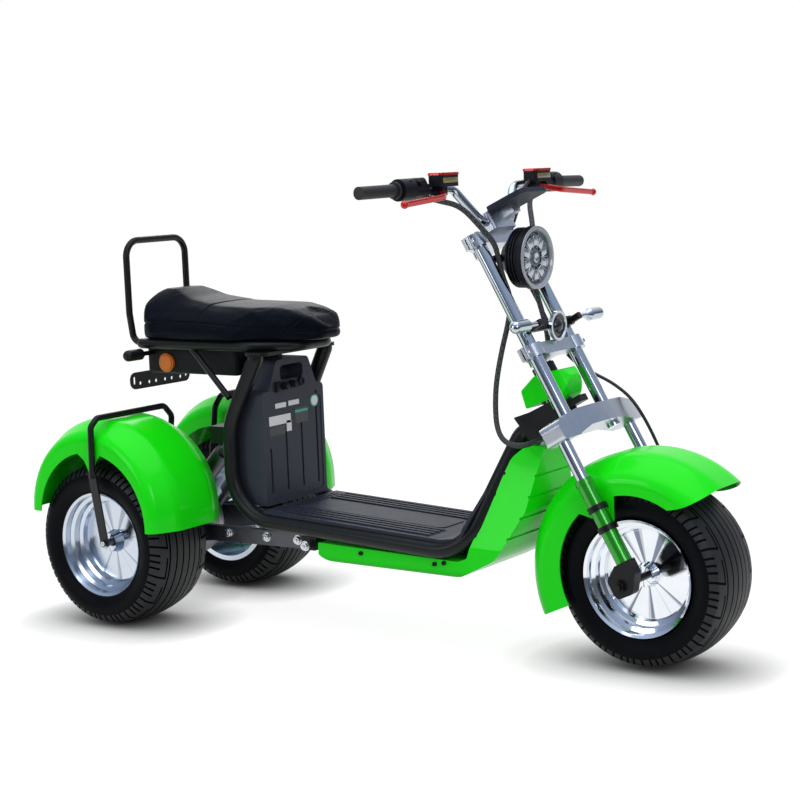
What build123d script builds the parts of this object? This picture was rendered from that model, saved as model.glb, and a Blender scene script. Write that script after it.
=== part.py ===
# Electric tricycle with fat tyres, a step-through deck, a long raked fork and a removable battery.
# X points forward, Y to the rider's left, Z up, with the ground at Z = 0. All sizes are in millimetres.
from build123d import *
from math import cos, pi, radians, sin, tan
import os

os.makedirs("parts", exist_ok=True)

# Wheels and stance
wheelbase = 1430.0
rear_axle_x = -706.0
half_track = 250.0
tyre_radius = 217.0
tyre_half_width = 107.0
tread_crown = 13.0
shoulder_width = 17.0
bead_radius = 136.0
lip_height = 5.0
lip_offset = 97.0
lip_wall = 3.0
disc_offset = 34.0
disc_wall = 12.0
hub_radius = 30.0
hub_reach = 60.0
hub_inner_reach = 55.0
axle_radius = 9.0
running_fit = 0.05
seat_gap = 0.3
brake_disc_radius = 100.0
brake_disc_wall = 4.0
brake_pad_gap = 1.5
# Fork, measured along and across the raked fork line from the front axle
rake = 29.3
steer_setback = 20.0
stem_radius = 14.0
head_radius = 28.0
bearing_gap = 8.0
upper_tube_radius = 16.5
upper_tube_y = 90.5
upper_tube_a = 27.0
tube_cap = 6.0
lower_tube_radius = 15.0
leg_y = 154.0
leg_a = 30.0
slider_radius = 19.0
slider_low = 45.0
slider_high = 250.0
bridge_low = 348.0
bridge_height = 56.0
mid_clamp_b = 568.0
top_clamp_b = 859.0
clamp_height = 30.0
clamp_wall = 9.0
lug_thick = 30.0
# Frame, deck and cowl
rail_radius = 20.0
rail_y = 150.0
rail_neck_y = 24.0
neck_half_width = 46.0
neck_a = -95.0
deck_half_width = 155.0
deck_rear_x = 398.0
deck_setback = 490.0
deck_rear_z = 305.0
deck_front_z = 277.0
deck_plate = 8.0
rib_height = 4.0
rib_width = 9.0
cowl_half_width = 148.0
cowl_rear_x = 566.0
cowl_low_z = 186.0
cowl_top_z = 500.0
cowl_groove = 4.0
cover_half_width = 46.0
# Seat, battery and rear end
seat_base_z = 733.0
seat_tube_radius = 13.0
seat_rear_x = -24.0
seat_front_x = 528.0
seat_half_width = 128.0
backrest_radius = 9.0
backrest_top_z = 992.0
tool_box_half_width = 98.0
tool_box_depth = 68.0
battery_half_width = 126.0
battery_front_x = 390.0
battery_depth = 104.0
battery_low_z = 309.0
battery_high_z = 604.0
battery_head_z = 680.0
beam_radius = 25.0
arm_gap = 17.0
arm_thick = 16.0
pivot_x = 540.0
pivot_radius = 10.0
shock_radius = 12.0
spring_radius = 24.0
# Mudguards
guard_wall = 3.0
rear_guard_half = 133.0
rear_guard_x = 10.0
rear_guard_rise = 83.0
rear_guard_crown = 246.0
front_guard_half = 127.0
front_guard_crown = 286.0
hoop_radius = 8.0
hoop_x = 40.0
strap_wall = 5.0
# Handlebar, controls and lamps
bar_radius = 11.0
bar_a = 45.0
bar_b = 900.0
bar_rise = 90.0
bar_half_width = 476.0
grip_radius = 14.5
grip_length = 128.0
headlamp_radius = 75.0
lamp_bar_b = 620.0
lamp_radius = 15.0
loom_radius = 6.5
hose_radius = 4.0

# The ground point under the rear axle, and the three planes through it
base = Plane((rear_axle_x, 0, 0))
side = Plane(base.origin, x_dir=(1, 0, 0), z_dir=(0, -1, 0))
front = Plane(base.origin, x_dir=(0, 1, 0), z_dir=(1, 0, 0))
# The front axle, and planes with one axis up the fork and one square to it
ahead = (cos(radians(rake)), 0, sin(radians(rake)))
upward = (-sin(radians(rake)), 0, cos(radians(rake)))
axle_point = (rear_axle_x + wheelbase, 0, tyre_radius)
fork = Plane(axle_point, x_dir=ahead, z_dir=upward)
fork_side = Plane(axle_point, x_dir=ahead, z_dir=(0, -1, 0))
fork_front = Plane(axle_point, x_dir=(0, 1, 0), z_dir=ahead)
wheel_spots = {
    "front": (axle_point[0], 0),
    "rear_right": (rear_axle_x, -half_track),
    "rear_left": (rear_axle_x, half_track),
}
# Places that follow from the sizes above
lip_radius = bead_radius + lip_height
deck_front_x = wheelbase - deck_setback
head_low = bridge_low + bridge_height + bearing_gap
head_high = mid_clamp_b - clamp_height / 2 - bearing_gap
loop_z = seat_base_z - seat_tube_radius
loop_low_z = seat_base_z - 2 * seat_tube_radius
tool_box_low_z = loop_low_z - tool_box_depth
arm_y = half_track - tyre_half_width - arm_gap - arm_thick / 2
pivot_z = tyre_radius + 11
rear_guard_z = tyre_radius + rear_guard_rise


def at(x, y, z):
    """A point measured forward from the rear axle, sideways from the middle and up from the ground."""
    return Vector(rear_axle_x + x, y, z)


def on_fork(a, y, b):
    """A point measured ahead of the front axle, sideways, and up along the fork."""
    return fork.from_local_coords(Vector(a, y, b))


def deck_z(x):
    """Height of the sloping deck's top."""
    return deck_rear_z + (deck_front_z - deck_rear_z) * (x - deck_rear_x) / (deck_front_x - deck_rear_x)


def rail_z(x):
    """Height of a rail's centre line under the deck's edge."""
    return deck_z(x) - deck_plate - rail_radius


def guard_channel(half_width, crown, shoulder):
    """Cross-section of a mudguard: a crowned top, rounded shoulders and straight skirts, one wall thick."""
    skirt = crown / 2
    with BuildSketch() as channel:
        with BuildLine():
            FilletPolyline(
                (-half_width, skirt), (-half_width, crown - shoulder), (-half_width / 2, crown),
                (half_width / 2, crown), (half_width, crown - shoulder), (half_width, skirt),
                radius=(shoulder, 2 * shoulder, 2 * shoulder, shoulder),
            )
            offset(amount=guard_wall, side=Side.RIGHT)
        make_face()
    return channel.sketch


def bullet_lamp(root, hand, stalk):
    """An indicator that stands out sideways: a thin stalk that swells into a bullet with a round tip."""
    with BuildPart() as lamp:
        with BuildSketch(Plane(root, x_dir=(0, hand, 0), z_dir=(hand, 0, 0))):
            with BuildLine():
                nose = stalk + 74 - lamp_radius
                body = Polyline((0, 0), (0, 6), (stalk, 6), (stalk + 14, lamp_radius), (nose, lamp_radius))
                tip = ThreePointArc(
                    body @ 1, (nose + lamp_radius * cos(pi / 4), lamp_radius * cos(pi / 4)), (nose + lamp_radius, 0)
                )
                Line(tip @ 1, body @ 0)
            make_face()
        revolve(axis=Axis(root, (0, 1, 0)))
    return lamp.part


def cord_tube(name, points, radius, housing):
    """A cord out of its housing along straight runs, each corner rounded as far as the shorter run allows."""
    runs = [far - near for near, far in zip(points, points[1:])]
    bends = []
    for before, after in zip(runs, runs[1:]):
        half_turn = radians(before.get_angle(after)) / 2
        bends.append(0.45 * min(before.length, after.length) / tan(half_turn))
    with BuildPart() as cord:
        with BuildLine() as path:
            FilletPolyline(*points, radius=bends)
        with BuildSketch(path.line ^ 0):
            Circle(radius)
        sweep(path=path.line)
        add(housing.part, mode=Mode.SUBTRACT)
    length = sum(edge.length for edge in path.edges())
    print(name, "length", round(length), "bend radii", [round(bend) for bend in bends])
    return cord


# Wheels: a wide low tyre on a deep-dished polished rim, open on the outer face
tyres = {}
rims = {}
for name, (wheel_x, wheel_y) in wheel_spots.items():
    outer = 1 if name == "rear_left" else -1
    hub = Plane((wheel_x, wheel_y, tyre_radius), x_dir=(0, outer, 0), z_dir=(outer, 0, 0))
    spin = Axis((wheel_x, wheel_y, tyre_radius), (0, 1, 0))
    bead = lip_offset - lip_wall
    shoulder_y = tyre_half_width - shoulder_width
    shoulder_r = tyre_radius - tread_crown
    bulge_r = (lip_radius + tyre_radius) / 2 - 7
    with BuildPart() as tyre:
        with BuildSketch(hub):
            with BuildLine():
                foot_r = lip_radius + seat_gap
                foot = Polyline((-bead, foot_r), (-bead, bead_radius), (bead, bead_radius), (bead, foot_r))
                wall = ThreePointArc(foot @ 1, (tyre_half_width, bulge_r), (shoulder_y, shoulder_r))
                crown = ThreePointArc(wall @ 1, (0, tyre_radius), (-shoulder_y, shoulder_r))
                ThreePointArc(crown @ 1, (-tyre_half_width, bulge_r), foot @ 0)
            make_face()
        revolve(axis=spin)
    tyres[name] = tyre
    bore = axle_radius + running_fit
    disc_back = disc_offset - disc_wall
    inner_side = [
        (-lip_offset, lip_radius), (-lip_offset, bead_radius - 8), (disc_back, bead_radius - 24),
        (disc_back, hub_radius), (-hub_inner_reach, hub_radius), (-hub_inner_reach, bore),
    ]
    outer_side = [
        (hub_reach, bore), (hub_reach, hub_radius - 6), (disc_offset, hub_radius),
        (disc_offset, bead_radius - 32), (disc_offset + 12, bead_radius - 28), (disc_offset + 16, bead_radius - 19),
        (disc_offset + 34, bead_radius - 17), (disc_offset + 38, bead_radius - 8), (lip_offset - 8, bead_radius - 6),
        (lip_offset, lip_radius),
    ]
    bead_seat = [(bead, lip_radius), (bead, bead_radius), (-bead, bead_radius), (-bead, lip_radius)]
    with BuildPart() as rim:
        with BuildSketch(hub):
            with BuildLine():
                Polyline(*inner_side, *outer_side, *bead_seat, close=True)
            make_face()
        revolve(axis=spin)
    rims[name] = rim

# Front brake disc on the left end of the hub
with BuildPart() as front_disc:
    with BuildSketch(Plane((axle_point[0], hub_inner_reach, tyre_radius), x_dir=(1, 0, 0), z_dir=(0, 1, 0))):
        Circle(brake_disc_radius)
        Circle(axle_radius + 6, mode=Mode.SUBTRACT)
        with PolarLocations(0.58 * brake_disc_radius, 6):
            Circle(12, mode=Mode.SUBTRACT)
    extrude(amount=brake_disc_wall)

# Frame: two bent rails run from the neck, under the deck's edges, and curl up behind the battery to the seat
rails = {}
curl_x = deck_rear_x - 100
rail_top_x = deck_rear_x - 10
for name, hand in (("rail_right", -1), ("rail_left", 1)):
    with BuildPart() as rail:
        with BuildLine() as path:
            FilletPolyline(
                on_fork(neck_a, hand * rail_neck_y, head_low + 17),
                on_fork(neck_a - 47, hand * rail_neck_y, head_low + 17),
                at(deck_front_x + 62, hand * rail_y, rail_z(deck_front_x + 62)),
                at(curl_x, hand * rail_y, rail_z(curl_x)),
                at(curl_x, hand * rail_y, seat_base_z - 213),
                at(rail_top_x, hand * (rail_y - 6), seat_base_z - 43),
                at(rail_top_x, hand * (rail_y - 6), loop_low_z - deck_plate),
                radius=(36, 110, 128, 160, 8),
            )
        with BuildSketch(path.line ^ 0):
            Circle(rail_radius)
        sweep(path=path.line)
    rails[name] = rail

# Head tube, the gusset box that the rails are welded to, and the steering lock ahead of it
with BuildPart() as head_tube:
    with BuildSketch(fork_side):
        with BuildLine():
            Polyline(
                (neck_a - 23, head_low - 10), (neck_a + 8, head_low - 28), (neck_a + 20, head_low - 22),
                (neck_a + 28, head_low), (-steer_setback, head_low), (-steer_setback, head_low + 44),
                (neck_a + 11, head_low + 48), (neck_a - 33, head_low + 56), close=True,
            )
        make_face()
    extrude(amount=neck_half_width, both=True)
    with BuildSketch(fork.offset(head_low)):
        with Locations((-steer_setback, 0)):
            Circle(head_radius)
    extrude(amount=head_high - head_low)
    with BuildSketch(fork.offset(head_low + 12)):
        with Locations((-steer_setback, 0)):
            Rectangle(head_radius + 32, 34, align=(Align.MIN, Align.CENTER))
    extrude(amount=16)
    for rail in rails.values():
        add(rail.part, mode=Mode.SUBTRACT)
    with BuildSketch(fork.offset(head_low)):
        with Locations((-steer_setback, 0)):
            Circle(stem_radius + running_fit)
    extrude(amount=head_high - head_low, mode=Mode.SUBTRACT)

# Painted cover over the head tube, with a rounded nose
with BuildPart() as head_cover:
    with BuildSketch(fork_side):
        with BuildLine():
            FilletPolyline(
                (-86, head_low + 58), (-77, head_high - 32), (-26, head_high - 18), (39, head_high - 34),
                (49, head_high - 60), (17, head_low + 41), (-20, head_low + 20), (-20, head_low + 50),
                radius=(4, 10, 30, 10, 10, 10, 4, 4), close=True,
            )
        make_face()
    extrude(amount=cover_half_width, both=True)
    with BuildSketch(fork.offset(head_low)):
        with BuildLine():
            flank = cover_half_width
            back = Polyline((10, flank), (-90, flank), (-90, -flank), (10, -flank))
            ThreePointArc(back @ 1, (52, 0), back @ 0)
        make_face()
    extrude(amount=head_high - head_low, mode=Mode.INTERSECT)
    with BuildSketch(fork.offset(head_low)):
        with Locations((-steer_setback, 0)):
            Circle(head_radius)
    extrude(amount=head_high - head_low, mode=Mode.SUBTRACT)
    add(head_tube.part, mode=Mode.SUBTRACT)

# Deck: a sloping moulded footboard with lengthwise ribs and a smooth middle pad, turned up to the neck in front
kick_foot = (deck_front_x + 56, deck_front_z + 8)
kick_head = (deck_front_x + 128, cowl_top_z - 32)
with BuildPart() as footboard:
    with BuildSketch(side):
        with BuildLine():
            FilletPolyline((deck_rear_x, deck_rear_z), (deck_front_x, deck_front_z), kick_foot, kick_head, radius=(60, 40))
            offset(amount=deck_plate, side=Side.RIGHT)
        make_face()
    extrude(amount=deck_half_width, both=True)
    with BuildSketch(front.offset(deck_rear_x)):
        with BuildLine():
            Polyline(
                (-deck_half_width, deck_front_z - 40), (deck_half_width, deck_front_z - 40),
                (deck_half_width, deck_rear_z + 6), (rail_neck_y + 26, cowl_top_z - 20),
                (-rail_neck_y - 26, cowl_top_z - 20), (-deck_half_width, deck_rear_z + 6), close=True,
            )
        make_face()
    extrude(amount=wheelbase, mode=Mode.INTERSECT)
    rib_ends = (deck_rear_x + 46, deck_front_x - 38)
    for rib in range(4):
        for hand in (-1, 1):
            with BuildSketch(side.offset(hand * (72 + 20 * rib))):
                with BuildLine():
                    Polyline(
                        (rib_ends[0], deck_z(rib_ends[0])), (rib_ends[1], deck_z(rib_ends[1])),
                        (rib_ends[1] - 6, deck_z(rib_ends[1]) + rib_height),
                        (rib_ends[0] + 6, deck_z(rib_ends[0]) + rib_height), close=True,
                    )
                make_face()
            extrude(amount=rib_width / 2, both=True)
    deck_middle = (rib_ends[0] + rib_ends[1]) / 2
    deck_slope = (deck_front_z - deck_rear_z) / (deck_front_x - deck_rear_x)
    deck_top = Plane(at(deck_middle, 0, deck_z(deck_middle)), x_dir=(1, 0, deck_slope), z_dir=(-deck_slope, 0, 1))
    with BuildSketch(deck_top):
        RectangleRounded(rib_ends[1] - rib_ends[0] - 40, 112, 22)
    extrude(amount=rib_height / 2)
    with BuildSketch(deck_top):
        with Locations(*[(deck_rear_x + 14 + 13 * bar - deck_middle, 0) for bar in range(3)]):
            RectangleRounded(6, 2 * deck_half_width - 60, 2.9)
    extrude(amount=rib_height / 2)
    add(rails["rail_right"].part, mode=Mode.SUBTRACT)
    add(rails["rail_left"].part, mode=Mode.SUBTRACT)

# Belly cowl: the painted shell under the deck that sweeps up the front to the neck, with grooves across its face
cowl_outline = [
    (cowl_rear_x, cowl_low_z + 19), (cowl_rear_x + 24, cowl_low_z + 4), (deck_front_x + 45, cowl_low_z),
    (deck_front_x + 154, cowl_low_z + 54), (deck_front_x + 214, cowl_low_z + 166), (deck_front_x + 236, cowl_top_z),
    (deck_front_x + 188, cowl_top_z), (deck_front_x + 152, cowl_top_z - 30), (deck_front_x + 70, deck_front_z - 41),
    (deck_front_x + 45, deck_front_z - 51), (cowl_rear_x, deck_front_z - 41),
]
cowl_bends = (8, 60, 60, 80, 8, 8, 30, 40, 4, 4, 4)
cowl_front = [
    (-cowl_half_width, cowl_low_z - 6), (cowl_half_width, cowl_low_z - 6), (cowl_half_width, deck_front_z - 15),
    (neck_half_width + 6, cowl_top_z + 5), (-neck_half_width - 6, cowl_top_z + 5), (-cowl_half_width, deck_front_z - 15),
]
with BuildPart() as cowl_grooves:
    with BuildSketch(front.offset(deck_front_x + 60)):
        with Locations(*[(0, cowl_low_z + 104 + 48 * groove) for groove in range(4)]):
            Rectangle(2 * cowl_half_width, 6)
    extrude(amount=wheelbase)
    with BuildSketch(side):
        with BuildLine():
            FilletPolyline(*cowl_outline, radius=cowl_bends, close=True)
        make_face()
        offset(amount=-cowl_groove, mode=Mode.REPLACE)
    extrude(amount=cowl_half_width, both=True, mode=Mode.SUBTRACT)
with BuildPart() as belly_cowl:
    with BuildSketch(side):
        with BuildLine():
            FilletPolyline(*cowl_outline, radius=cowl_bends, close=True)
        make_face()
    extrude(amount=cowl_half_width, both=True)
    with BuildSketch(front):
        with BuildLine():
            FilletPolyline(*cowl_front, radius=(26, 26, 40, 4, 4, 40), close=True)
        make_face()
    extrude(amount=wheelbase, mode=Mode.INTERSECT)
    add(cowl_grooves.part, mode=Mode.SUBTRACT)
    add(rails["rail_right"].part, mode=Mode.SUBTRACT)
    add(rails["rail_left"].part, mode=Mode.SUBTRACT)
    add(head_tube.part, mode=Mode.SUBTRACT)

# Battery pack: a case with a bordered, grooved face, a carrying head with a grip opening, and a row of sockets
with BuildPart() as battery:
    face_plane = front.offset(battery_front_x)
    with BuildSketch(face_plane):
        with BuildLine():
            FilletPolyline(
                (-battery_half_width, battery_low_z), (-battery_half_width, battery_high_z),
                (-0.78 * battery_half_width, battery_high_z), (-0.52 * battery_half_width, battery_head_z),
                (0.52 * battery_half_width, battery_head_z), (0.78 * battery_half_width, battery_high_z),
                (battery_half_width, battery_high_z), (battery_half_width, battery_low_z),
                radius=(6, 14, 4, 16, 16, 4, 14, 6), close=True,
            )
        make_face()
    extrude(amount=-battery_depth)
    with BuildSketch(face_plane):
        with Locations((0, (battery_low_z + battery_high_z) / 2 - 10)):
            RectangleRounded(2 * battery_half_width - 24, battery_high_z - battery_low_z - 44, 12)
    extrude(amount=-2, mode=Mode.SUBTRACT)
    with BuildSketch(face_plane):
        with Locations((-4, battery_head_z - 34)):
            RectangleRounded(94, 38, 12)
    extrude(amount=-battery_depth / 2, mode=Mode.SUBTRACT)
    for groove_y, groove_rise in ((-0.78, 116), (-0.27, 153), (0.24, 189), (0.75, 246)):
        with BuildSketch(face_plane):
            with Locations((groove_y * battery_half_width, battery_low_z + 30)):
                Rectangle(7, groove_rise, align=(Align.CENTER, Align.MIN))
        extrude(amount=-6, mode=Mode.SUBTRACT)
    for socket_y, socket_radius in ((-44, 8), (-10, 6), (26, 9)):
        with BuildSketch(face_plane):
            with Locations((socket_y, battery_high_z + 8)):
                Circle(socket_radius)
        extrude(amount=3)

# Seat carrier: a tube loop with a pan across it, and a plate over the tops of the rails
loop = [
    (seat_rear_x, -seat_half_width), (seat_rear_x, seat_half_width), (seat_front_x - 180, seat_half_width),
    (seat_front_x - 60, 0.47 * seat_half_width), (seat_front_x - 60, -0.47 * seat_half_width),
    (seat_front_x - 180, -seat_half_width),
]
with BuildPart() as seat_frame:
    with BuildLine() as path:
        FilletPolyline(*[at(x, y, loop_z) for x, y in loop], radius=(16, 16, 60, 50, 50, 60), close=True)
    with BuildSketch(path.line ^ 0):
        Circle(seat_tube_radius)
    sweep(path=path.line)
    with BuildSketch(base.offset(seat_base_z - deck_plate)):
        with BuildLine():
            FilletPolyline(*loop, radius=(16, 16, 60, 50, 50, 60), close=True)
        make_face()
    extrude(amount=deck_plate)
    with BuildSketch(base.offset(loop_low_z + 1)):
        with Locations((rail_top_x, 0)):
            RectangleRounded(70, 2 * rail_y + 6, 18)
    extrude(amount=-deck_plate - 1)

# Seat cushion: a hump at the back, a long hollow, rounded flanks and a narrow nose
with BuildPart() as seat:
    with BuildSketch(side):
        with BuildLine():
            FilletPolyline(
                (seat_rear_x + 2, seat_base_z), (seat_front_x - 4, seat_base_z), (seat_front_x, seat_base_z + 32),
                (seat_front_x - 28, seat_base_z + 66), (seat_front_x - 128, seat_base_z + 84),
                (seat_front_x - 310, seat_base_z + 88), (seat_rear_x + 140, seat_base_z + 102),
                (seat_rear_x + 66, seat_base_z + 129), (seat_rear_x + 16, seat_base_z + 125),
                (seat_rear_x - 2, seat_base_z + 92),
                radius=(6, 8, 26, 40, 160, 160, 70, 40, 20, 10), close=True,
            )
        make_face()
    extrude(amount=seat_half_width + 22, both=True)
    with BuildSketch(base):
        with BuildLine():
            plan = [
                (seat_rear_x - 2, -seat_half_width - 12), (seat_front_x - 228, -seat_half_width - 22),
                (seat_front_x, -0.48 * seat_half_width), (seat_front_x, 0.48 * seat_half_width),
                (seat_front_x - 228, seat_half_width + 22), (seat_rear_x - 2, seat_half_width + 12),
            ]
            FilletPolyline(*plan, radius=(60, 120, 80, 80, 120, 60), close=True)
        make_face()
    extrude(amount=seat_base_z + 200, mode=Mode.INTERSECT)
    with BuildSketch(front.offset(seat_rear_x - 10)):
        with BuildLine():
            flank = seat_half_width + 24
            sill = Polyline(
                (-flank, seat_base_z + 40), (-flank, seat_base_z - 1), (flank, seat_base_z - 1), (flank, seat_base_z + 40),
            )
            ThreePointArc(sill @ 1, (0, seat_base_z + 135), sill @ 0)
        make_face()
    extrude(amount=seat_front_x - seat_rear_x + 20, mode=Mode.INTERSECT)

# Backrest hoop, bent from one tube and welded to the back of the seat loop
with BuildPart() as backrest_hoop:
    hoop_back = seat_rear_x - 42
    hoop_foot = seat_rear_x - seat_tube_radius - seat_gap
    with BuildLine() as path:
        FilletPolyline(
            at(hoop_foot, -104, loop_z), at(hoop_back, -104, loop_z), at(hoop_back, -116, loop_z + 78),
            at(hoop_back, -116, backrest_top_z), at(hoop_back, 116, backrest_top_z), at(hoop_back, 116, loop_z + 78),
            at(hoop_back, 104, loop_z), at(hoop_foot, 104, loop_z), radius=(24, 40, 45, 45, 40, 24),
        )
    with BuildSketch(path.line ^ 0):
        Circle(backrest_radius)
    sweep(path=path.line)

# Tool box under the seat with round side reflectors, rear lamps and the number plate bracket
with BuildPart() as seat_box:
    with BuildSketch(base.offset(loop_low_z)):
        with Locations((seat_rear_x + 152, 0)):
            RectangleRounded(316, 2 * tool_box_half_width, 14)
    extrude(amount=-tool_box_depth)
    fillet(seat_box.faces().sort_by(Axis.Z)[0].edges(), 8)
with BuildPart() as side_reflectors:
    for hand in (-1, 1):
        with BuildSketch(side.offset(-hand * tool_box_half_width)):
            with Locations((seat_rear_x + 70, tool_box_low_z + 29)):
                Circle(25)
        extrude(amount=-hand * 7)
        with BuildSketch(side.offset(-hand * (tool_box_half_width + 7))):
            with Locations((seat_rear_x + 70, tool_box_low_z + 29)):
                Circle(21)
        extrude(amount=-hand * 3)
plate_x = seat_rear_x - 51
with BuildPart() as plate_bracket:
    with BuildSketch(front.offset(plate_x - 2)):
        with Locations((0, tool_box_low_z - 25)):
            RectangleRounded(236, 46, 20)
        with Locations(*[(y, tool_box_low_z - 33) for y in (-80, -45, -18, 18, 45, 80)]):
            Circle(5, mode=Mode.SUBTRACT)
        with Locations((-103, tool_box_low_z - 24), (103, tool_box_low_z - 24)):
            SlotOverall(22, 9, rotation=90, mode=Mode.SUBTRACT)
    extrude(amount=4)
    with BuildSketch(base.offset(tool_box_low_z)):
        with Locations((plate_x, 0)):
            Rectangle(85, 60, align=(Align.MIN, Align.CENTER))
    extrude(amount=-4)
with BuildPart() as rear_lamps:
    for hand in (-1, 1):
        add(bullet_lamp(at(seat_rear_x + 20, hand * tool_box_half_width, loop_low_z - 13), hand, 36))

# Struts from the seat loop down to the rails
with BuildPart() as seat_struts:
    for hand in (-1, 1):
        with BuildLine() as path:
            Line(
                at(seat_rear_x + 174, hand * (seat_half_width - 4), loop_z - 2),
                at(curl_x + 2, hand * rail_y, seat_base_z - 143),
            )
        with BuildSketch(path.line ^ 0):
            Circle(8)
        sweep(path=path.line)
    add(rails["rail_right"].part, mode=Mode.SUBTRACT)
    add(rails["rail_left"].part, mode=Mode.SUBTRACT)
    add(seat_frame.part, mode=Mode.SUBTRACT)

# Rear axle: beam with the motor at its middle, stub axles and two trailing arms to a cross pivot
axle_line = Plane((rear_axle_x, 0, tyre_radius), x_dir=(1, 0, 0), z_dir=(0, -1, 0))
with BuildPart() as axle_beam:
    with BuildSketch(axle_line):
        Circle(beam_radius)
    extrude(amount=half_track - hub_reach - 2, both=True)
    with BuildSketch(axle_line):
        Circle(axle_radius)
    extrude(amount=half_track + 84, both=True)
motor_half_width = arm_y - arm_thick / 2 - 45
with BuildPart() as motor:
    with BuildSketch(axle_line):
        Circle(78)
    extrude(amount=motor_half_width, both=True)
    fillet(motor.edges(), 10)
    for fin in range(-3, 4):
        with BuildSketch(axle_line.offset(fin * motor_half_width / 8)):
            Circle(92)
        extrude(amount=motor_half_width / 26, both=True)
    with BuildSketch(axle_line):
        Circle(beam_radius)
    extrude(amount=motor_half_width, both=True, mode=Mode.SUBTRACT)
with BuildPart() as trailing_arms:
    for hand in (-1, 1):
        with BuildSketch(side.offset(-hand * arm_y)):
            with BuildLine():
                FilletPolyline(
                    (-45, tyre_radius - 25), (60, tyre_radius - 31), (200, pivot_z - 23), (pivot_x, pivot_z - 18),
                    (pivot_x + 22, pivot_z), (pivot_x, pivot_z + 20), (200, pivot_z + 18), (60, tyre_radius + 31),
                    (-45, tyre_radius + 25),
                    radius=(12, 60, 60, 8, 8, 8, 60, 60, 12), close=True,
                )
            make_face()
            with Locations((0, tyre_radius)):
                Circle(beam_radius, mode=Mode.SUBTRACT)
            with Locations((pivot_x, pivot_z)):
                Circle(pivot_radius, mode=Mode.SUBTRACT)
        extrude(amount=arm_thick / 2, both=True)
with BuildPart() as arm_pivot:
    with BuildSketch(side):
        with Locations((pivot_x, pivot_z)):
            Circle(pivot_radius)
    extrude(amount=rail_y, both=True)
    for hand in (-1, 1):
        with BuildSketch(side.offset(-hand * rail_y)):
            with BuildLine():
                top = rail_z(pivot_x) - 8
                Polyline(
                    (pivot_x - 17, pivot_z - 14), (pivot_x + 17, pivot_z - 14), (pivot_x + 26, top), (pivot_x - 26, top),
                    close=True,
                )
            make_face()
        extrude(amount=hand * 16)
    add(rails["rail_right"].part, mode=Mode.SUBTRACT)
    add(rails["rail_left"].part, mode=Mode.SUBTRACT)

# Rear shocks between the beam and a tower behind the battery
tower_z = seat_base_z - 263
shock_y = arm_y - 34
with BuildPart() as shock_tower:
    with BuildSketch(base.offset(tower_z)):
        with BuildLine():
            Polyline(
                (curl_x - 66, -rail_y - 4), (curl_x - 8, -rail_y - 4), (curl_x - 8, 19 - rail_y), (curl_x - 36, 32 - rail_y),
                (curl_x - 36, rail_y - 32), (curl_x - 8, rail_y - 19), (curl_x - 8, rail_y + 4),
                (curl_x - 66, rail_y + 4), close=True,
            )
        make_face()
    extrude(amount=44)
    add(rails["rail_right"].part, mode=Mode.SUBTRACT)
    add(rails["rail_left"].part, mode=Mode.SUBTRACT)
with BuildPart() as rear_shocks:
    for hand in (-1, 1):
        foot = at(34, hand * shock_y, tyre_radius + 33)
        head = at(curl_x - 58, hand * shock_y, tower_z - 8)
        shock = Plane(foot, x_dir=(0, 1, 0), z_dir=head - foot)
        span = (head - foot).length
        with BuildSketch(shock.offset(-8)):
            Circle(shock_radius)
        extrude(amount=span + 24)
        with BuildSketch(shock.offset(60)):
            Circle(spring_radius)
        extrude(amount=span - 100)
    add(shock_tower.part, mode=Mode.SUBTRACT)
    add(axle_beam.part, mode=Mode.SUBTRACT)
    add(trailing_arms.part, mode=Mode.SUBTRACT)

# Rear mudguards: a crowned channel turned over the wheel, with an arched opening and a tab under the hoop
guards = {}
for name, hand in (("rear_guard_right", -1), ("rear_guard_left", 1)):
    centre = (rear_axle_x + rear_guard_x, hand * half_track, rear_guard_z)
    with BuildPart() as guard:
        with BuildSketch(Plane(centre, x_dir=(0, 1, 0), z_dir=(0, 0, -1))) as section:
            add(guard_channel(rear_guard_half, rear_guard_crown, 34))
        revolve(axis=Axis(centre, (0, -1, 0)), revolution_arc=180)
        extrude(section.sketch, amount=30)
        with BuildSketch(side.offset(-hand * half_track)):
            with Locations((rear_guard_x + 5, rear_guard_z - 20)):
                Circle(185)
        extrude(amount=rear_guard_half, both=True, mode=Mode.SUBTRACT)
        with BuildSketch(side.offset(-hand * (half_track + rear_guard_half))):
            with BuildLine():
                tab_x = hoop_x - 18
                FilletPolyline(
                    (tab_x - 60, rear_guard_z + 172), (tab_x + 48, rear_guard_z + 172), (tab_x + 22, rear_guard_z + 146),
                    (tab_x, rear_guard_z + 106), (tab_x - 22, rear_guard_z + 146),
                    radius=(4, 4, 20, 6, 20), close=True,
                )
            make_face()
        extrude(amount=hand * guard_wall)
    guards[name] = guard

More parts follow.
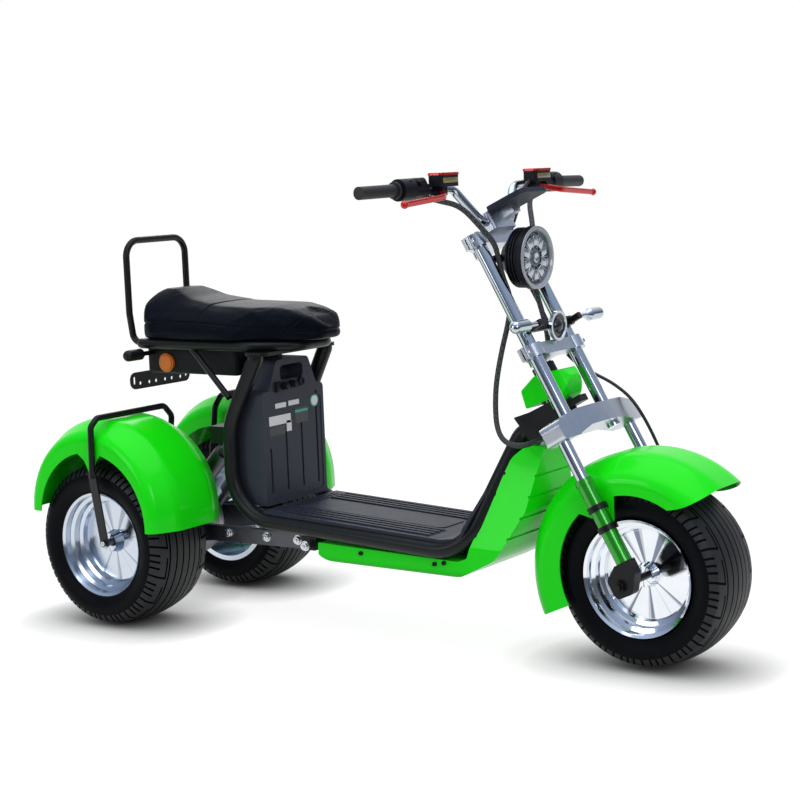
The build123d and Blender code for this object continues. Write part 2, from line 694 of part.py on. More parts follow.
# Tube hoops over the rear mudguards, flattened to a strap where they bolt to the axle ends
hoops = {}
for name, hand in (("guard_hoop_right", -1), ("guard_hoop_left", 1)):
    hoop_y = half_track + rear_guard_half + hoop_radius + seat_gap
    top_z = rear_guard_z + rear_guard_crown + hoop_radius + seat_gap
    strap_y = half_track + hub_reach + 16
    strap_top_z = rear_guard_z + 102
    with BuildPart() as hoop:
        with BuildLine() as path:
            FilletPolyline(
                at(hoop_x - 4, hand * hoop_y, strap_top_z), at(hoop_x, hand * hoop_y, top_z - 20),
                at(hoop_x, hand * (hoop_y - 24), top_z), at(hoop_x, hand * (arm_y - 2), top_z),
                at(hoop_x, hand * (arm_y - 30), top_z - 30), at(0, hand * (arm_y - 30), tyre_radius + 19),
                radius=(18, 18, 24, 24),
            )
        with BuildSketch(path.line ^ 0):
            Circle(hoop_radius)
        sweep(path=path.line)
        strap_foot = at(0, hand * strap_y, tyre_radius)
        strap_head = at(hoop_x - 4, hand * hoop_y, strap_top_z + 8)
        rise = strap_head - strap_foot
        with BuildSketch(Plane(strap_foot, x_dir=rise, z_dir=rise.cross(Vector(1, 0, 0)))):
            with Locations((rise.length / 2, 0)):
                SlotCenterToCenter(rise.length, 26)
        extrude(amount=strap_wall / 2, both=True)
        add(axle_beam.part, mode=Mode.SUBTRACT)
    hoops[name] = hoop

# Fork: stem, bridges, chromed tubes, painted sliders and the lugs that hold the wheel axle
tube_spots = [(upper_tube_a, hand * upper_tube_y) for hand in (-1, 1)]
leg_spots = [(leg_a, hand * leg_y) for hand in (-1, 1)]
with BuildPart() as upper_tubes:
    with BuildSketch(fork.offset(bridge_low)):
        with Locations(*tube_spots):
            Circle(upper_tube_radius)
    extrude(amount=top_clamp_b + clamp_height / 2 + tube_cap - bridge_low)
    chamfer(upper_tubes.faces().sort_by(Axis((0, 0, 0), upward))[-2:].edges(), tube_cap / 2)
with BuildPart() as lower_tubes:
    with BuildSketch(fork.offset(slider_high)):
        with Locations(*leg_spots):
            Circle(lower_tube_radius)
    extrude(amount=bridge_low + 46 - slider_high)
with BuildPart() as sliders:
    with BuildSketch(fork.offset(slider_low)):
        with Locations(*leg_spots):
            Circle(slider_radius)
    extrude(amount=slider_high - slider_low)
    with BuildSketch(fork.offset(slider_high - 14)):
        with Locations(*leg_spots):
            Circle(slider_radius + 2.5)
    extrude(amount=10)
with BuildPart() as stem:
    with BuildSketch(fork.offset(bridge_low + 14)):
        with Locations((-steer_setback, 0)):
            Circle(stem_radius)
    extrude(amount=mid_clamp_b + clamp_height / 2 - bridge_low - 14)
bridge_end = leg_y + lower_tube_radius + 13
with BuildPart() as lower_bridge:
    with BuildSketch(fork_front.offset(-10)):
        with BuildLine():
            low, high = bridge_low - 4, bridge_low + bridge_height
            FilletPolyline(
                (-bridge_end, low), (50 - bridge_end, low), (-70, low + 14), (70, low + 14), (bridge_end - 50, low),
                (bridge_end, low), (bridge_end, high - 14), (110, high), (-110, high), (-bridge_end, high - 14),
                radius=(10, 30, 60, 60, 30, 10, 18, 120, 120, 18), close=True,
            )
        make_face()
    extrude(amount=90)
    with BuildSketch(fork.offset(bridge_low - 10)):
        with BuildLine():
            flank = bridge_end + 2
            back = FilletPolyline(
                (leg_a + 24, flank), (leg_a - 34, flank), (leg_a - 38, 0), (leg_a - 34, -flank), (leg_a + 24, -flank),
                radius=(14, 300, 14),
            )
            ThreePointArc(back @ 1, (leg_a + 42, 0), back @ 0)
        make_face()
    extrude(amount=bridge_height + 20, mode=Mode.INTERSECT)
    with BuildSketch(fork.offset(bridge_low + 18)):
        with Locations((-steer_setback + 12, 0)):
            SlotCenterToCenter(40, 64)
    extrude(amount=bridge_height - 18)
    add(upper_tubes.part, mode=Mode.SUBTRACT)
    add(lower_tubes.part, mode=Mode.SUBTRACT)
    add(stem.part, mode=Mode.SUBTRACT)
clamps = {}
for name, clamp_b in (("mid_clamp", mid_clamp_b), ("top_clamp", top_clamp_b)):
    ear_y = upper_tube_y + upper_tube_radius + clamp_wall
    with BuildPart() as clamp:
        with BuildSketch(fork.offset(clamp_b - clamp_height / 2)):
            with Locations(*tube_spots):
                Circle(upper_tube_radius + clamp_wall)
            with Locations((upper_tube_a, 0)):
                Rectangle(34, 2 * upper_tube_y)
            with Locations(*[(upper_tube_a - 4, hand * ear_y) for hand in (-1, 1)]):
                RectangleRounded(26, 28, 6)
            with Locations((-steer_setback, 0)):
                Circle(head_radius)
                Rectangle(upper_tube_a + steer_setback, 2 * head_radius, align=(Align.MIN, Align.CENTER))
            with Locations(*[(upper_tube_a - 4, hand * (ear_y + 2)) for hand in (-1, 1)]):
                Rectangle(3, 30, mode=Mode.SUBTRACT)
        extrude(amount=clamp_height)
        add(upper_tubes.part, mode=Mode.SUBTRACT)
        add(stem.part, mode=Mode.SUBTRACT)
    clamps[name] = clamp
with BuildPart() as axle_lugs:
    for hand in (-1, 1):
        with BuildSketch(fork_side.offset(-hand * (leg_y - 14))):
            with BuildLine():
                FilletPolyline(
                    (-24, -24), (20, -28), (leg_a + 20, 10), (leg_a + 20, slider_low), (leg_a - 20, slider_low), (-24, 24),
                    radius=(14, 14, 14, 3, 3, 14), close=True,
                )
            make_face()
        extrude(amount=-hand * lug_thick)
        with BuildSketch(fork_side.offset(-hand * (leg_y - 14 + lug_thick))):
            RegularPolygon(15, 6)
        extrude(amount=-hand * 10)
    with BuildSketch(fork_side):
        Circle(axle_radius)
    extrude(amount=leg_y + 26 + 8, both=True)

# Front brake caliper over the disc, on an arm from the left lug
caliper_y = hub_inner_reach + brake_disc_wall / 2
with BuildPart() as front_caliper:
    with BuildSketch(fork_side.offset(-caliper_y - 18)):
        with Locations((52, 72)):
            RectangleRounded(64, 40, 12, rotation=-36)
    extrude(amount=36)
    with BuildSketch(fork_side.offset(-caliper_y - 18)):
        with Locations((leg_a + 8, slider_low)):
            RectangleRounded(24, 44, 6)
    extrude(amount=-(leg_y - slider_radius - 6 - caliper_y - 18))
    with BuildSketch(fork_side.offset(-caliper_y - 18)):
        with Locations((leg_a + 8, slider_low - 14)):
            RectangleRounded(24, 22, 6)
    extrude(amount=-(leg_y - 14 - caliper_y - 18))
    with BuildSketch(fork_side.offset(-caliper_y - brake_disc_wall / 2 - brake_pad_gap)):
        Circle(brake_disc_radius + 4)
    extrude(amount=brake_disc_wall + 2 * brake_pad_gap, mode=Mode.SUBTRACT)

# Front mudguard: a crowned channel with an arched opening, swept up to a beak in front, and a pointed side tongue
with BuildPart() as front_guard:
    start = radians(40)
    with BuildSketch(Plane(axle_point, x_dir=(0, 1, 0), z_dir=(sin(start), 0, -cos(start)))):
        add(guard_channel(front_guard_half, front_guard_crown, 44))
    revolve(axis=Axis(axle_point, (0, -1, 0)), revolution_arc=164)
    wheel_side = Plane(axle_point, x_dir=(1, 0, 0), z_dir=(0, -1, 0))
    with BuildSketch(wheel_side):
        with Locations((3, 16)):
            Circle(182)
    extrude(amount=front_guard_half, both=True, mode=Mode.SUBTRACT)
    with BuildSketch(wheel_side):
        with BuildLine():
            beak = ThreePointArc((96, 172), (148, 186), (200, 228))
            Polyline(beak @ 1, (320, 260), (320, 60), (96, 60), beak @ 0)
        make_face()
    extrude(amount=front_guard_half, both=True, mode=Mode.SUBTRACT)
    for hand in (-1, 1):
        with BuildSketch(fork_side.offset(-hand * front_guard_half)):
            with BuildLine():
                FilletPolyline(
                    (leg_a - 96, 216), (leg_a + 52, 216), (leg_a + 20, 160), (leg_a - 6, 112), (leg_a - 30, 156),
                    radius=(6, 6, 30, 8, 30), close=True,
                )
            make_face()
        extrude(amount=hand * guard_wall)
with BuildPart() as guard_bands:
    for band_b in (slider_high - 72, slider_high - 122):
        with BuildSketch(fork.offset(band_b - 7)):
            with Locations(*leg_spots):
                Circle(slider_radius + 4)
            for hand in (-1, 1):
                with Locations((leg_a, hand * (front_guard_half + leg_y) / 2)):
                    Rectangle(26, leg_y - front_guard_half)
            with Locations(*leg_spots):
                Circle(slider_radius, mode=Mode.SUBTRACT)
        extrude(amount=14)

# Handlebar: one bent tube with its ends swept back
# columns: ahead of the fork line, out to the side, up along the fork
bar_route = [
    (bar_a, 0, bar_b), (bar_a, 62, bar_b), (bar_a + 11, 132, bar_b + bar_rise - 4),
    (bar_a + 15, 230, bar_b + bar_rise), (bar_a + 1, bar_half_width, bar_b + bar_rise + 4),
]
with BuildPart() as handlebar:
    for hand in (-1, 1):
        with BuildLine() as path:
            FilletPolyline(*[on_fork(a, hand * y, b) for a, y, b in bar_route], radius=(36, 36, 60))
        with BuildSketch(path.line ^ 0):
            Circle(bar_radius)
        sweep(path=path.line)


def bar_plane(hand, back):
    """The plane square to the bar's straight end, a distance back from its tip, facing outwards."""
    bend, tip = [on_fork(a, hand * y, b) for a, y, b in bar_route[-2:]]
    run = (tip - bend).normalized()
    return Plane(tip - run * back, x_dir=upward, z_dir=run)


# Grips, throttle and switch housings
with BuildPart() as grips:
    for hand in (-1, 1):
        with BuildSketch(bar_plane(hand, grip_length - 4)):
            Circle(grip_radius)
        extrude(amount=grip_length)
        with BuildSketch(bar_plane(hand, grip_length - 4)):
            Circle(grip_radius + 5)
        extrude(amount=6)
    add(handlebar.part, mode=Mode.SUBTRACT)
with BuildPart() as switch_pods:
    for hand in (-1, 1):
        with BuildSketch(bar_plane(hand, grip_length + 48)):
            Circle(grip_radius + 10.5)
        extrude(amount=44)
        with BuildSketch(bar_plane(hand, grip_length + 94)):
            RectangleRounded(46, 38, 12)
        extrude(amount=47)
    add(handlebar.part, mode=Mode.SUBTRACT)

# Brake cylinders with flat reservoirs on perches, their caps, and the levers
cylinder_y = 206
with BuildPart() as brake_cylinders:
    for hand in (-1, 1):
        perch = Plane(on_fork(bar_a + 37, hand * cylinder_y, bar_b + bar_rise - 10), x_dir=(1, 0, 0), z_dir=(0, 0, 1))
        with BuildSketch(perch):
            RectangleRounded(40, 74, 9)
        extrude(amount=26)
        with BuildSketch(perch.offset(-20)):
            with Locations((-14, 0)):
                RectangleRounded(34, 30, 6)
        extrude(amount=24)
    add(handlebar.part, mode=Mode.SUBTRACT)
with BuildPart() as reservoir_caps:
    for hand in (-1, 1):
        perch = Plane(on_fork(bar_a + 37, hand * cylinder_y, bar_b + bar_rise - 10), x_dir=(1, 0, 0), z_dir=(0, 0, 1))
        with BuildSketch(perch.offset(26)):
            RectangleRounded(43, 77, 10)
        extrude(amount=6)
    fillet(reservoir_caps.faces().sort_by(Axis.Z)[-2:].edges(), 2)
with BuildPart() as levers:
    for hand in (-1, 1):
        with BuildLine() as path:
            FilletPolyline(
                on_fork(bar_a + 31, hand * (cylinder_y + 8), bar_b + bar_rise - 18),
                on_fork(bar_a + 59, hand * (cylinder_y + 52), bar_b + bar_rise - 48),
                on_fork(bar_a + 53, hand * (cylinder_y + 210), bar_b + bar_rise - 58), radius=30,
            )
        with BuildSketch(path.line ^ 0):
            RectangleRounded(9, 14, 4)
        sweep(path=path.line)
        with Locations(Location(path.line @ 1)):
            Sphere(9)
    add(brake_cylinders.part, mode=Mode.SUBTRACT)

# Bar clamp on the top bridge, with an arm that carries the tilted display
display_tilt = radians(24)
display_plane = Plane(
    on_fork(bar_a + 76, 0, bar_b + 14.5),
    x_dir=(cos(display_tilt), 0, sin(display_tilt)), z_dir=(-sin(display_tilt), 0, cos(display_tilt)),
)
with BuildPart() as display:
    with BuildSketch(display_plane):
        RectangleRounded(112, 120, 16)
    extrude(amount=6, both=True)
    with BuildSketch(display_plane.offset(6)):
        RectangleRounded(84, 96, 10)
    extrude(amount=-1.5, mode=Mode.SUBTRACT)
with BuildPart() as bar_clamp:
    clamp_floor = top_clamp_b + clamp_height / 2
    with BuildSketch(fork.offset(clamp_floor)):
        with Locations((bar_a, 0)):
            RectangleRounded(40, 96, 10)
    extrude(amount=bar_b + bar_radius + 8 - clamp_floor)
    with BuildSketch(fork.offset(bar_b - 10)):
        with Locations((bar_a + 16, 0)):
            Rectangle(48, 30, align=(Align.MIN, Align.CENTER))
    extrude(amount=30)
    add(handlebar.part, mode=Mode.SUBTRACT)
    add(display.part, mode=Mode.SUBTRACT)

# Headlamp: a ribbed round housing on a cross tube, with a bezel and a ring of lamp cells behind a clear front
lamp_point = on_fork(upper_tube_a + 69, 0, top_clamp_b - 87)
lamp_side = Plane(lamp_point, x_dir=(1, 0, 0), z_dir=(0, -1, 0))
fins = []
for fin in range(4):
    fins += [(-14 - 8 * fin, headlamp_radius - 4), (-18 - 8 * fin, headlamp_radius - 4)]
    fins += [(-18 - 8 * fin, headlamp_radius - 11), (-22 - 8 * fin, headlamp_radius - 11)]
with BuildPart() as headlamp:
    with BuildSketch(lamp_side):
        with BuildLine():
            bezel = [(-6, 0), (-6, headlamp_radius - 8), (5, headlamp_radius - 8), (5, headlamp_radius - 2)]
            Polyline(*bezel, (-10, headlamp_radius), *fins, (-76, 34), (-76, 0), close=True)
        make_face()
    revolve(axis=Axis(lamp_point, (1, 0, 0)))
    with BuildSketch(lamp_side.offset(-upper_tube_y)):
        with Locations((-79, 0)):
            Circle(9)
    extrude(amount=2 * upper_tube_y)
    add(upper_tubes.part, mode=Mode.SUBTRACT)
with BuildPart() as headlamp_lens:
    lens_face = Plane(lamp_point, x_dir=(0, 1, 0), z_dir=(1, 0, 0))
    with BuildSketch(lens_face.offset(-6)):
        Circle(headlamp_radius - 8)
    extrude(amount=7)
    with BuildSketch(lens_face.offset(1)):
        Circle(20)
        with PolarLocations(headlamp_radius - 30, 10):
            RectangleRounded(24, 19, 4)
    extrude(amount=3)

# Horn and the front indicators on a bar across the fork tubes
bar_face = upper_tube_a + upper_tube_radius + 10
with BuildPart() as lamp_bar:
    with BuildSketch(fork_front.offset(upper_tube_a + upper_tube_radius)):
        with Locations((0, lamp_bar_b)):
            RectangleRounded(2 * upper_tube_y + 30, 22, 8)
    extrude(amount=10)
    with BuildSketch(fork_front.offset(bar_face)):
        with Locations(*[(hand * (upper_tube_y - 2), lamp_bar_b - 2) for hand in (-1, 1)]):
            RectangleRounded(16, 16, 4)
    extrude(amount=28)
horn_point = on_fork(bar_face, 0, lamp_bar_b - 6)
with BuildPart() as horn:
    with BuildSketch(Plane(horn_point, x_dir=(1, 0, 0), z_dir=(0, -1, 0))):
        with BuildLine():
            Polyline(
                (-22, 0), (-22, 12), (4, 12), (4, 30), (10, 35), (18, 35), (18, 29), (14, 27), (14, 16), (20, 12), (24, 0),
                close=True,
            )
        make_face()
    revolve(axis=Axis(horn_point, (1, 0, 0)))
    add(clamps["mid_clamp"].part, mode=Mode.SUBTRACT)
    add(lamp_bar.part, mode=Mode.SUBTRACT)
with BuildPart() as front_lamps:
    for hand in (-1, 1):
        add(bullet_lamp(on_fork(bar_face + 20, hand * (upper_tube_y - 2), lamp_bar_b - 2), hand, 40))
    add(lamp_bar.part, mode=Mode.SUBTRACT)

# Cable looms from the switch housings to the neck, and the front brake hose to the caliper
right_route = [
    at(1004, -262, 1091), at(1008, -212, 1080), at(1030, -150, 1066), at(1062, -112, 1010), at(1078, -86, 976),
    at(1077, -69, 937), at(1081, -61, 896), at(1100, -57, 848), at(1101, -72, 794), at(1090, -88, 730), at(1077, -97, 655),
    at(1075, -102, 595), at(1084, -112, 548), at(1104, -120, 520), at(1132, -116, 508), at(1154, -98, 508),
    at(1162, -72, 514), at(1162, -neck_half_width, 514),
]
left_route = [
    at(1004, 262, 1091), at(1008, 212, 1080), at(1030, 150, 1066), at(1062, 112, 1010), at(1078, 86, 976),
    at(1077, 69, 937), at(1081, 61, 896), at(1102, 55, 848), at(1120, 52, 798), at(1130, 56, 742), at(1122, 66, 684),
    at(1104, 86, 632), at(1088, 104, 588), at(1087, 113, 550), at(1104, 120, 520), at(1132, 116, 508),
    at(1154, 98, 508), at(1162, 72, 514), at(1162, neck_half_width, 514),
]
hose_route = [
    on_fork(86, 174, 984), on_fork(84, 146, 976), on_fork(66, 128, 948), on_fork(34, 120, 916),
    on_fork(-6, 110, 878), on_fork(-12, 106, 830), on_fork(-13, 104, 760), on_fork(-12, 105, 690),
    on_fork(-13, 104, 620), on_fork(-10, 106, 566), on_fork(2, 114, 520), on_fork(30, 122, 480),
    on_fork(60, 124, 440), on_fork(84, 128, 385), on_fork(78, 150, 305), on_fork(64, 162, 220),
    on_fork(62, 162, 146), on_fork(64, 148, 104), on_fork(66, 122, 84), on_fork(66, 98, 80),
    on_fork(66, caliper_y + 18, 80),
]
right_loom = cord_tube("right_loom", right_route, loom_radius, switch_pods)
left_loom = cord_tube("left_loom", left_route, loom_radius, switch_pods)
brake_hose = cord_tube("brake_hose", hose_route, hose_radius, brake_cylinders)

pieces = {
    "rail_right": rails["rail_right"], "rail_left": rails["rail_left"], "head_tube": head_tube, "footboard": footboard,
    "belly_cowl": belly_cowl, "head_cover": head_cover, "battery": battery, "seat_frame": seat_frame, "seat": seat,
    "backrest_hoop": backrest_hoop, "seat_box": seat_box, "side_reflectors": side_reflectors,
    "plate_bracket": plate_bracket, "rear_lamps": rear_lamps, "seat_struts": seat_struts, "axle_beam": axle_beam,
    "motor": motor, "trailing_arms": trailing_arms, "arm_pivot": arm_pivot, "shock_tower": shock_tower,
    "rear_shocks": rear_shocks, "rear_guard_right": guards["rear_guard_right"],
    "rear_guard_left": guards["rear_guard_left"], "guard_hoop_right": hoops["guard_hoop_right"],
    "guard_hoop_left": hoops["guard_hoop_left"], "rear_right_tyre": tyres["rear_right"],
    "rear_right_rim": rims["rear_right"], "rear_left_tyre": tyres["rear_left"], "rear_left_rim": rims["rear_left"],
    "front_tyre": tyres["front"], "front_rim": rims["front"], "front_disc": front_disc, "front_caliper": front_caliper,
    "upper_tubes": upper_tubes, "lower_tubes": lower_tubes, "sliders": sliders, "stem": stem,
    "lower_bridge": lower_bridge, "mid_clamp": clamps["mid_clamp"], "top_clamp": clamps["top_clamp"],
    "axle_lugs": axle_lugs, "front_guard": front_guard, "guard_bands": guard_bands, "bar_clamp": bar_clamp,
    "handlebar": handlebar, "grips": grips, "switch_pods": switch_pods, "brake_cylinders": brake_cylinders,
    "reservoir_caps": reservoir_caps, "levers": levers, "display": display, "headlamp": headlamp,
    "headlamp_lens": headlamp_lens, "lamp_bar": lamp_bar, "horn": horn, "front_lamps": front_lamps,
    "right_loom": right_loom, "left_loom": left_loom, "brake_hose": brake_hose,
}
for node, piece in pieces.items():
    piece.part.label = node
    export_step(piece.part, f"parts/{node}.step")
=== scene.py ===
# Electric tricycle: a step-through frame on three fat tyres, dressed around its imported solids.
# The script follows the vehicle as it is put together, from the studio to the lamps.
import math

import bpy
from mathutils import Matrix, Vector


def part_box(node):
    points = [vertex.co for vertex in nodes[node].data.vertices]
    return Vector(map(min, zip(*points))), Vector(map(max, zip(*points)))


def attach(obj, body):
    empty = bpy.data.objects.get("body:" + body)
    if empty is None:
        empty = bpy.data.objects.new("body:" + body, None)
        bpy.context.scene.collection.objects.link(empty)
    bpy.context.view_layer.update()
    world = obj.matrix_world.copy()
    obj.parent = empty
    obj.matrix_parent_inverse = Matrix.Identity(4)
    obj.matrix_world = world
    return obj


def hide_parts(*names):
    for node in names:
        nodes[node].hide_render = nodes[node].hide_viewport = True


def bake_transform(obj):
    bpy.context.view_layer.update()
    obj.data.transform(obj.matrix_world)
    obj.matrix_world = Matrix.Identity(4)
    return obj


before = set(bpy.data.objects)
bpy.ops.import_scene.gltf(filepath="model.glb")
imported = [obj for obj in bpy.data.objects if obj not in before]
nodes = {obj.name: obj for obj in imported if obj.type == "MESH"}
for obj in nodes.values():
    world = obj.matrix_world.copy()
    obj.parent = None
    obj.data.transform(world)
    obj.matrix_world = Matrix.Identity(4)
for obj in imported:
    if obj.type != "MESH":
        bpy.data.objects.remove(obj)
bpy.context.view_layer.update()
bpy.ops.object.select_all(action="DESELECT")

# Studio: a white sweep that ends in front of the vehicle, in a room that grows lighter upwards.
# One wide softbox hangs overhead and three stand round the vehicle.
# The camera stands at the rider's right, ahead of the vehicle and a little above its deck.
scene = bpy.context.scene
scene.view_settings.view_transform = "Standard"
camera_data = bpy.data.cameras.new("camera")
camera = bpy.data.objects.new("camera", camera_data)
scene.collection.objects.link(camera)
scene.camera = camera
view_right = Vector((0.81612, 0.57657, -0.03892))
view_up = Vector((-0.04171, 0.12594, 0.99116))
view_back = Vector((0.57637, -0.80728, 0.12684))
view_point = Vector((2.61965, -3.63852, 1.15992))
camera.matrix_world = Matrix(
    [(view_right[i], view_up[i], view_back[i], view_point[i]) for i in range(3)] + [(0, 0, 0, 1)]
)
camera_data.sensor_width = 36
camera_data.lens = 81.35
camera_data.shift_x = 0.0009
camera_data.shift_y = -0.0023
camera_data.clip_end = 200


def seen_rays(tree):
    """One for the rays that show the backdrop, straight or in metal and glass, and zero for falling light."""
    rays = tree.nodes.new("ShaderNodeLightPath")
    seen = rays.outputs["Is Camera Ray"]
    for kind in ("Is Glossy Ray", "Is Transmission Ray"):
        either = tree.nodes.new("ShaderNodeMath")
        either.operation = "MAXIMUM"
        tree.links.new(seen, either.inputs[0])
        tree.links.new(rays.outputs[kind], either.inputs[1])
        seen = either.outputs[0]
    return rays.outputs["Is Camera Ray"], seen


world = bpy.data.worlds.new("studio")
scene.world = world
world.use_nodes = True
sky = world.node_tree
sky.nodes.clear()
direct, seen = seen_rays(sky)
fill = sky.nodes.new("ShaderNodeBackground")
fill.inputs["Color"].default_value = (0.96, 0.98, 1.0, 1)
fill.inputs["Strength"].default_value = 0.55
direction = sky.nodes.new("ShaderNodeTexCoord")
height = sky.nodes.new("ShaderNodeSeparateXYZ")
sky.links.new(direction.outputs["Generated"], height.inputs[0])
room = sky.nodes.new("ShaderNodeValToRGB")
sky.links.new(height.outputs["Z"], room.inputs["Fac"])
room.color_ramp.elements[0].color = (0.10, 0.115, 0.14, 1)
room.color_ramp.elements[1].color = (0.66, 0.75, 0.9, 1)
for rise, colour in (
    (0.12, (0.12, 0.14, 0.18, 1)),
    (0.34, (0.26, 0.32, 0.44, 1)),
    (0.62, (0.42, 0.5, 0.66, 1)),
):
    room.color_ramp.elements.new(rise).color = colour
across = sky.nodes.new("ShaderNodeVectorMath")
across.operation = "DOT_PRODUCT"
across.inputs[1].default_value = (-view_back.x, -view_back.y, 0)
sky.links.new(direction.outputs["Generated"], across.inputs[0])
sweep = sky.nodes.new("ShaderNodeMapRange")
sweep.inputs["From Min"].default_value = 0.45
sweep.inputs["From Max"].default_value = 0.8
sky.links.new(across.outputs["Value"], sweep.inputs["Value"])
white_part = sky.nodes.new("ShaderNodeMath")
white_part.operation = "MAXIMUM"
sky.links.new(sweep.outputs["Result"], white_part.inputs[0])
sky.links.new(direct, white_part.inputs[1])
tones = sky.nodes.new("ShaderNodeMix")
tones.data_type = "RGBA"
tones.inputs["B"].default_value = (1, 1, 1, 1)
sky.links.new(white_part.outputs[0], tones.inputs["Factor"])
sky.links.new(room.outputs["Color"], tones.inputs["A"])
shown = sky.nodes.new("ShaderNodeBackground")
sky.links.new(tones.outputs["Result"], shown.inputs["Color"])
backdrop = sky.nodes.new("ShaderNodeMixShader")
sky.links.new(seen, backdrop.inputs[0])
sky.links.new(fill.outputs[0], backdrop.inputs[1])
sky.links.new(shown.outputs[0], backdrop.inputs[2])
surface = sky.nodes.new("ShaderNodeOutputWorld")
sky.links.new(backdrop.outputs[0], surface.inputs["Surface"])

floor_size = 60
floor_edge = 1.8
floor_drop = Vector((0, 0, 0.0006))
floor_depth = Vector((-view_back.x, -view_back.y, 0)).normalized()
bpy.ops.mesh.primitive_plane_add(
    size=floor_size,
    location=(floor_size / 2 - floor_edge) * floor_depth - floor_drop,
    rotation=(0, 0, math.atan2(floor_depth.y, floor_depth.x)),
)
floor = bpy.context.object
floor.name = "studio_floor"
floor_paint = bpy.data.materials.new("studio_floor")
floor_paint.use_nodes = True
ground = floor_paint.node_tree
ground.nodes.clear()
matt = ground.nodes.new("ShaderNodeBsdfDiffuse")
matt.inputs["Color"].default_value = (0.25, 0.25, 0.25, 1)
lift = ground.nodes.new("ShaderNodeEmission")
floor_lift = ground.nodes.new("ShaderNodeMath")
floor_lift.operation = "MULTIPLY"
# Painted contact shadow: the floor's white glow is darkened by ambient occlusion under and round the wheels
# and the vehicle.
painted_contact_shadow = ground.nodes.new("ShaderNodeAmbientOcclusion")
painted_contact_shadow.samples = 12
painted_contact_shadow.inputs["Distance"].default_value = 0.17
deeper = ground.nodes.new("ShaderNodeMath")
deeper.operation = "POWER"
deeper.inputs[1].default_value = 2.0
ground.links.new(painted_contact_shadow.outputs["AO"], deeper.inputs[0])
white = ground.nodes.new("ShaderNodeMath")
white.operation = "MULTIPLY"
white.inputs[1].default_value = 0.88
ground.links.new(deeper.outputs[0], white.inputs[0])
ground.links.new(white.outputs[0], floor_lift.inputs[1])
ground.links.new(seen_rays(ground)[1], floor_lift.inputs[0])
ground.links.new(floor_lift.outputs[0], lift.inputs["Strength"])
both = ground.nodes.new("ShaderNodeAddShader")
ground.links.new(matt.outputs[0], both.inputs[0])
ground.links.new(lift.outputs[0], both.inputs[1])
floor_out = ground.nodes.new("ShaderNodeOutputMaterial")
ground.links.new(both.outputs[0], floor_out.inputs["Surface"])
floor.data.materials.append(floor_paint)

for name, place, target, size, power in (
    ("overhead", (0.2, -0.3, 3.4), (0, 0, 0.3), 3.6, 46),
    ("front", (3.4, -2.2, 2.1), (0.3, 0, 0.5), 1.3, 24),
    ("side", (-1.4, -3.6, 1.7), (-0.3, 0, 0.4), 1.5, 24),
    ("behind", (-2.4, 2.6, 2.4), (0, 0, 0.5), 1.8, 20),
):
    lamp_data = bpy.data.lights.new(name, "AREA")
    lamp_data.size = size
    lamp_data.energy = power
    lamp = bpy.data.objects.new(name, lamp_data)
    scene.collection.objects.link(lamp)
    lamp.location = place
    lamp.rotation_mode = "QUATERNION"
    lamp.rotation_quaternion = (Vector(target) - Vector(place)).to_track_quat("-Z", "Y")

# Cable looms: braided sleeves from the switch housings, behind the fork tubes and into the neck.
# On the vehicle they turn with the bar at the top and stay with the frame at the neck, so they bend between
# the two; here each is laid as one fixed mesh along its route.
RAKE = math.radians(29.3)
WHEELBASE = 1430
AXLE_HEIGHT = 217


def at(x, y, z):
    """A point in millimetres ahead of the rear axle, to the left and above the ground, in the row frame."""
    return Vector((x - 706, y, z)) / 1000


def on_fork(a, y, b):
    """A point ahead of the front axle, to the left, and up along the raked fork."""
    x = WHEELBASE + a * math.cos(RAKE) - b * math.sin(RAKE)
    return at(x, y, AXLE_HEIGHT + a * math.sin(RAKE) + b * math.cos(RAKE))


grain = bpy.data.node_groups.new("surface_grain", "ShaderNodeTree")
grain.interface.new_socket("Vector", in_out="INPUT", socket_type="NodeSocketVector")
grain.interface.new_socket("Scale", in_out="INPUT", socket_type="NodeSocketFloat")
grain.interface.new_socket("Tone", in_out="OUTPUT", socket_type="NodeSocketFloat")
grain.interface.new_socket("Height", in_out="OUTPUT", socket_type="NodeSocketFloat")
grain_in = grain.nodes.new("NodeGroupInput")
grain_out = grain.nodes.new("NodeGroupOutput")
clouds = grain.nodes.new("ShaderNodeTexNoise")
clouds.inputs["Detail"].default_value = 5
pores = grain.nodes.new("ShaderNodeTexNoise")
pores.inputs["Detail"].default_value = 3
finer = grain.nodes.new("ShaderNodeMath")
finer.operation = "MULTIPLY"
finer.inputs[1].default_value = 14
grain.links.new(grain_in.outputs["Vector"], clouds.inputs["Vector"])
grain.links.new(grain_in.outputs["Vector"], pores.inputs["Vector"])
grain.links.new(grain_in.outputs["Scale"], clouds.inputs["Scale"])
grain.links.new(grain_in.outputs["Scale"], finer.inputs[0])
grain.links.new(finer.outputs[0], pores.inputs["Scale"])
grain.links.new(clouds.outputs["Fac"], grain_out.inputs["Tone"])
grain.links.new(pores.outputs["Fac"], grain_out.inputs["Height"])


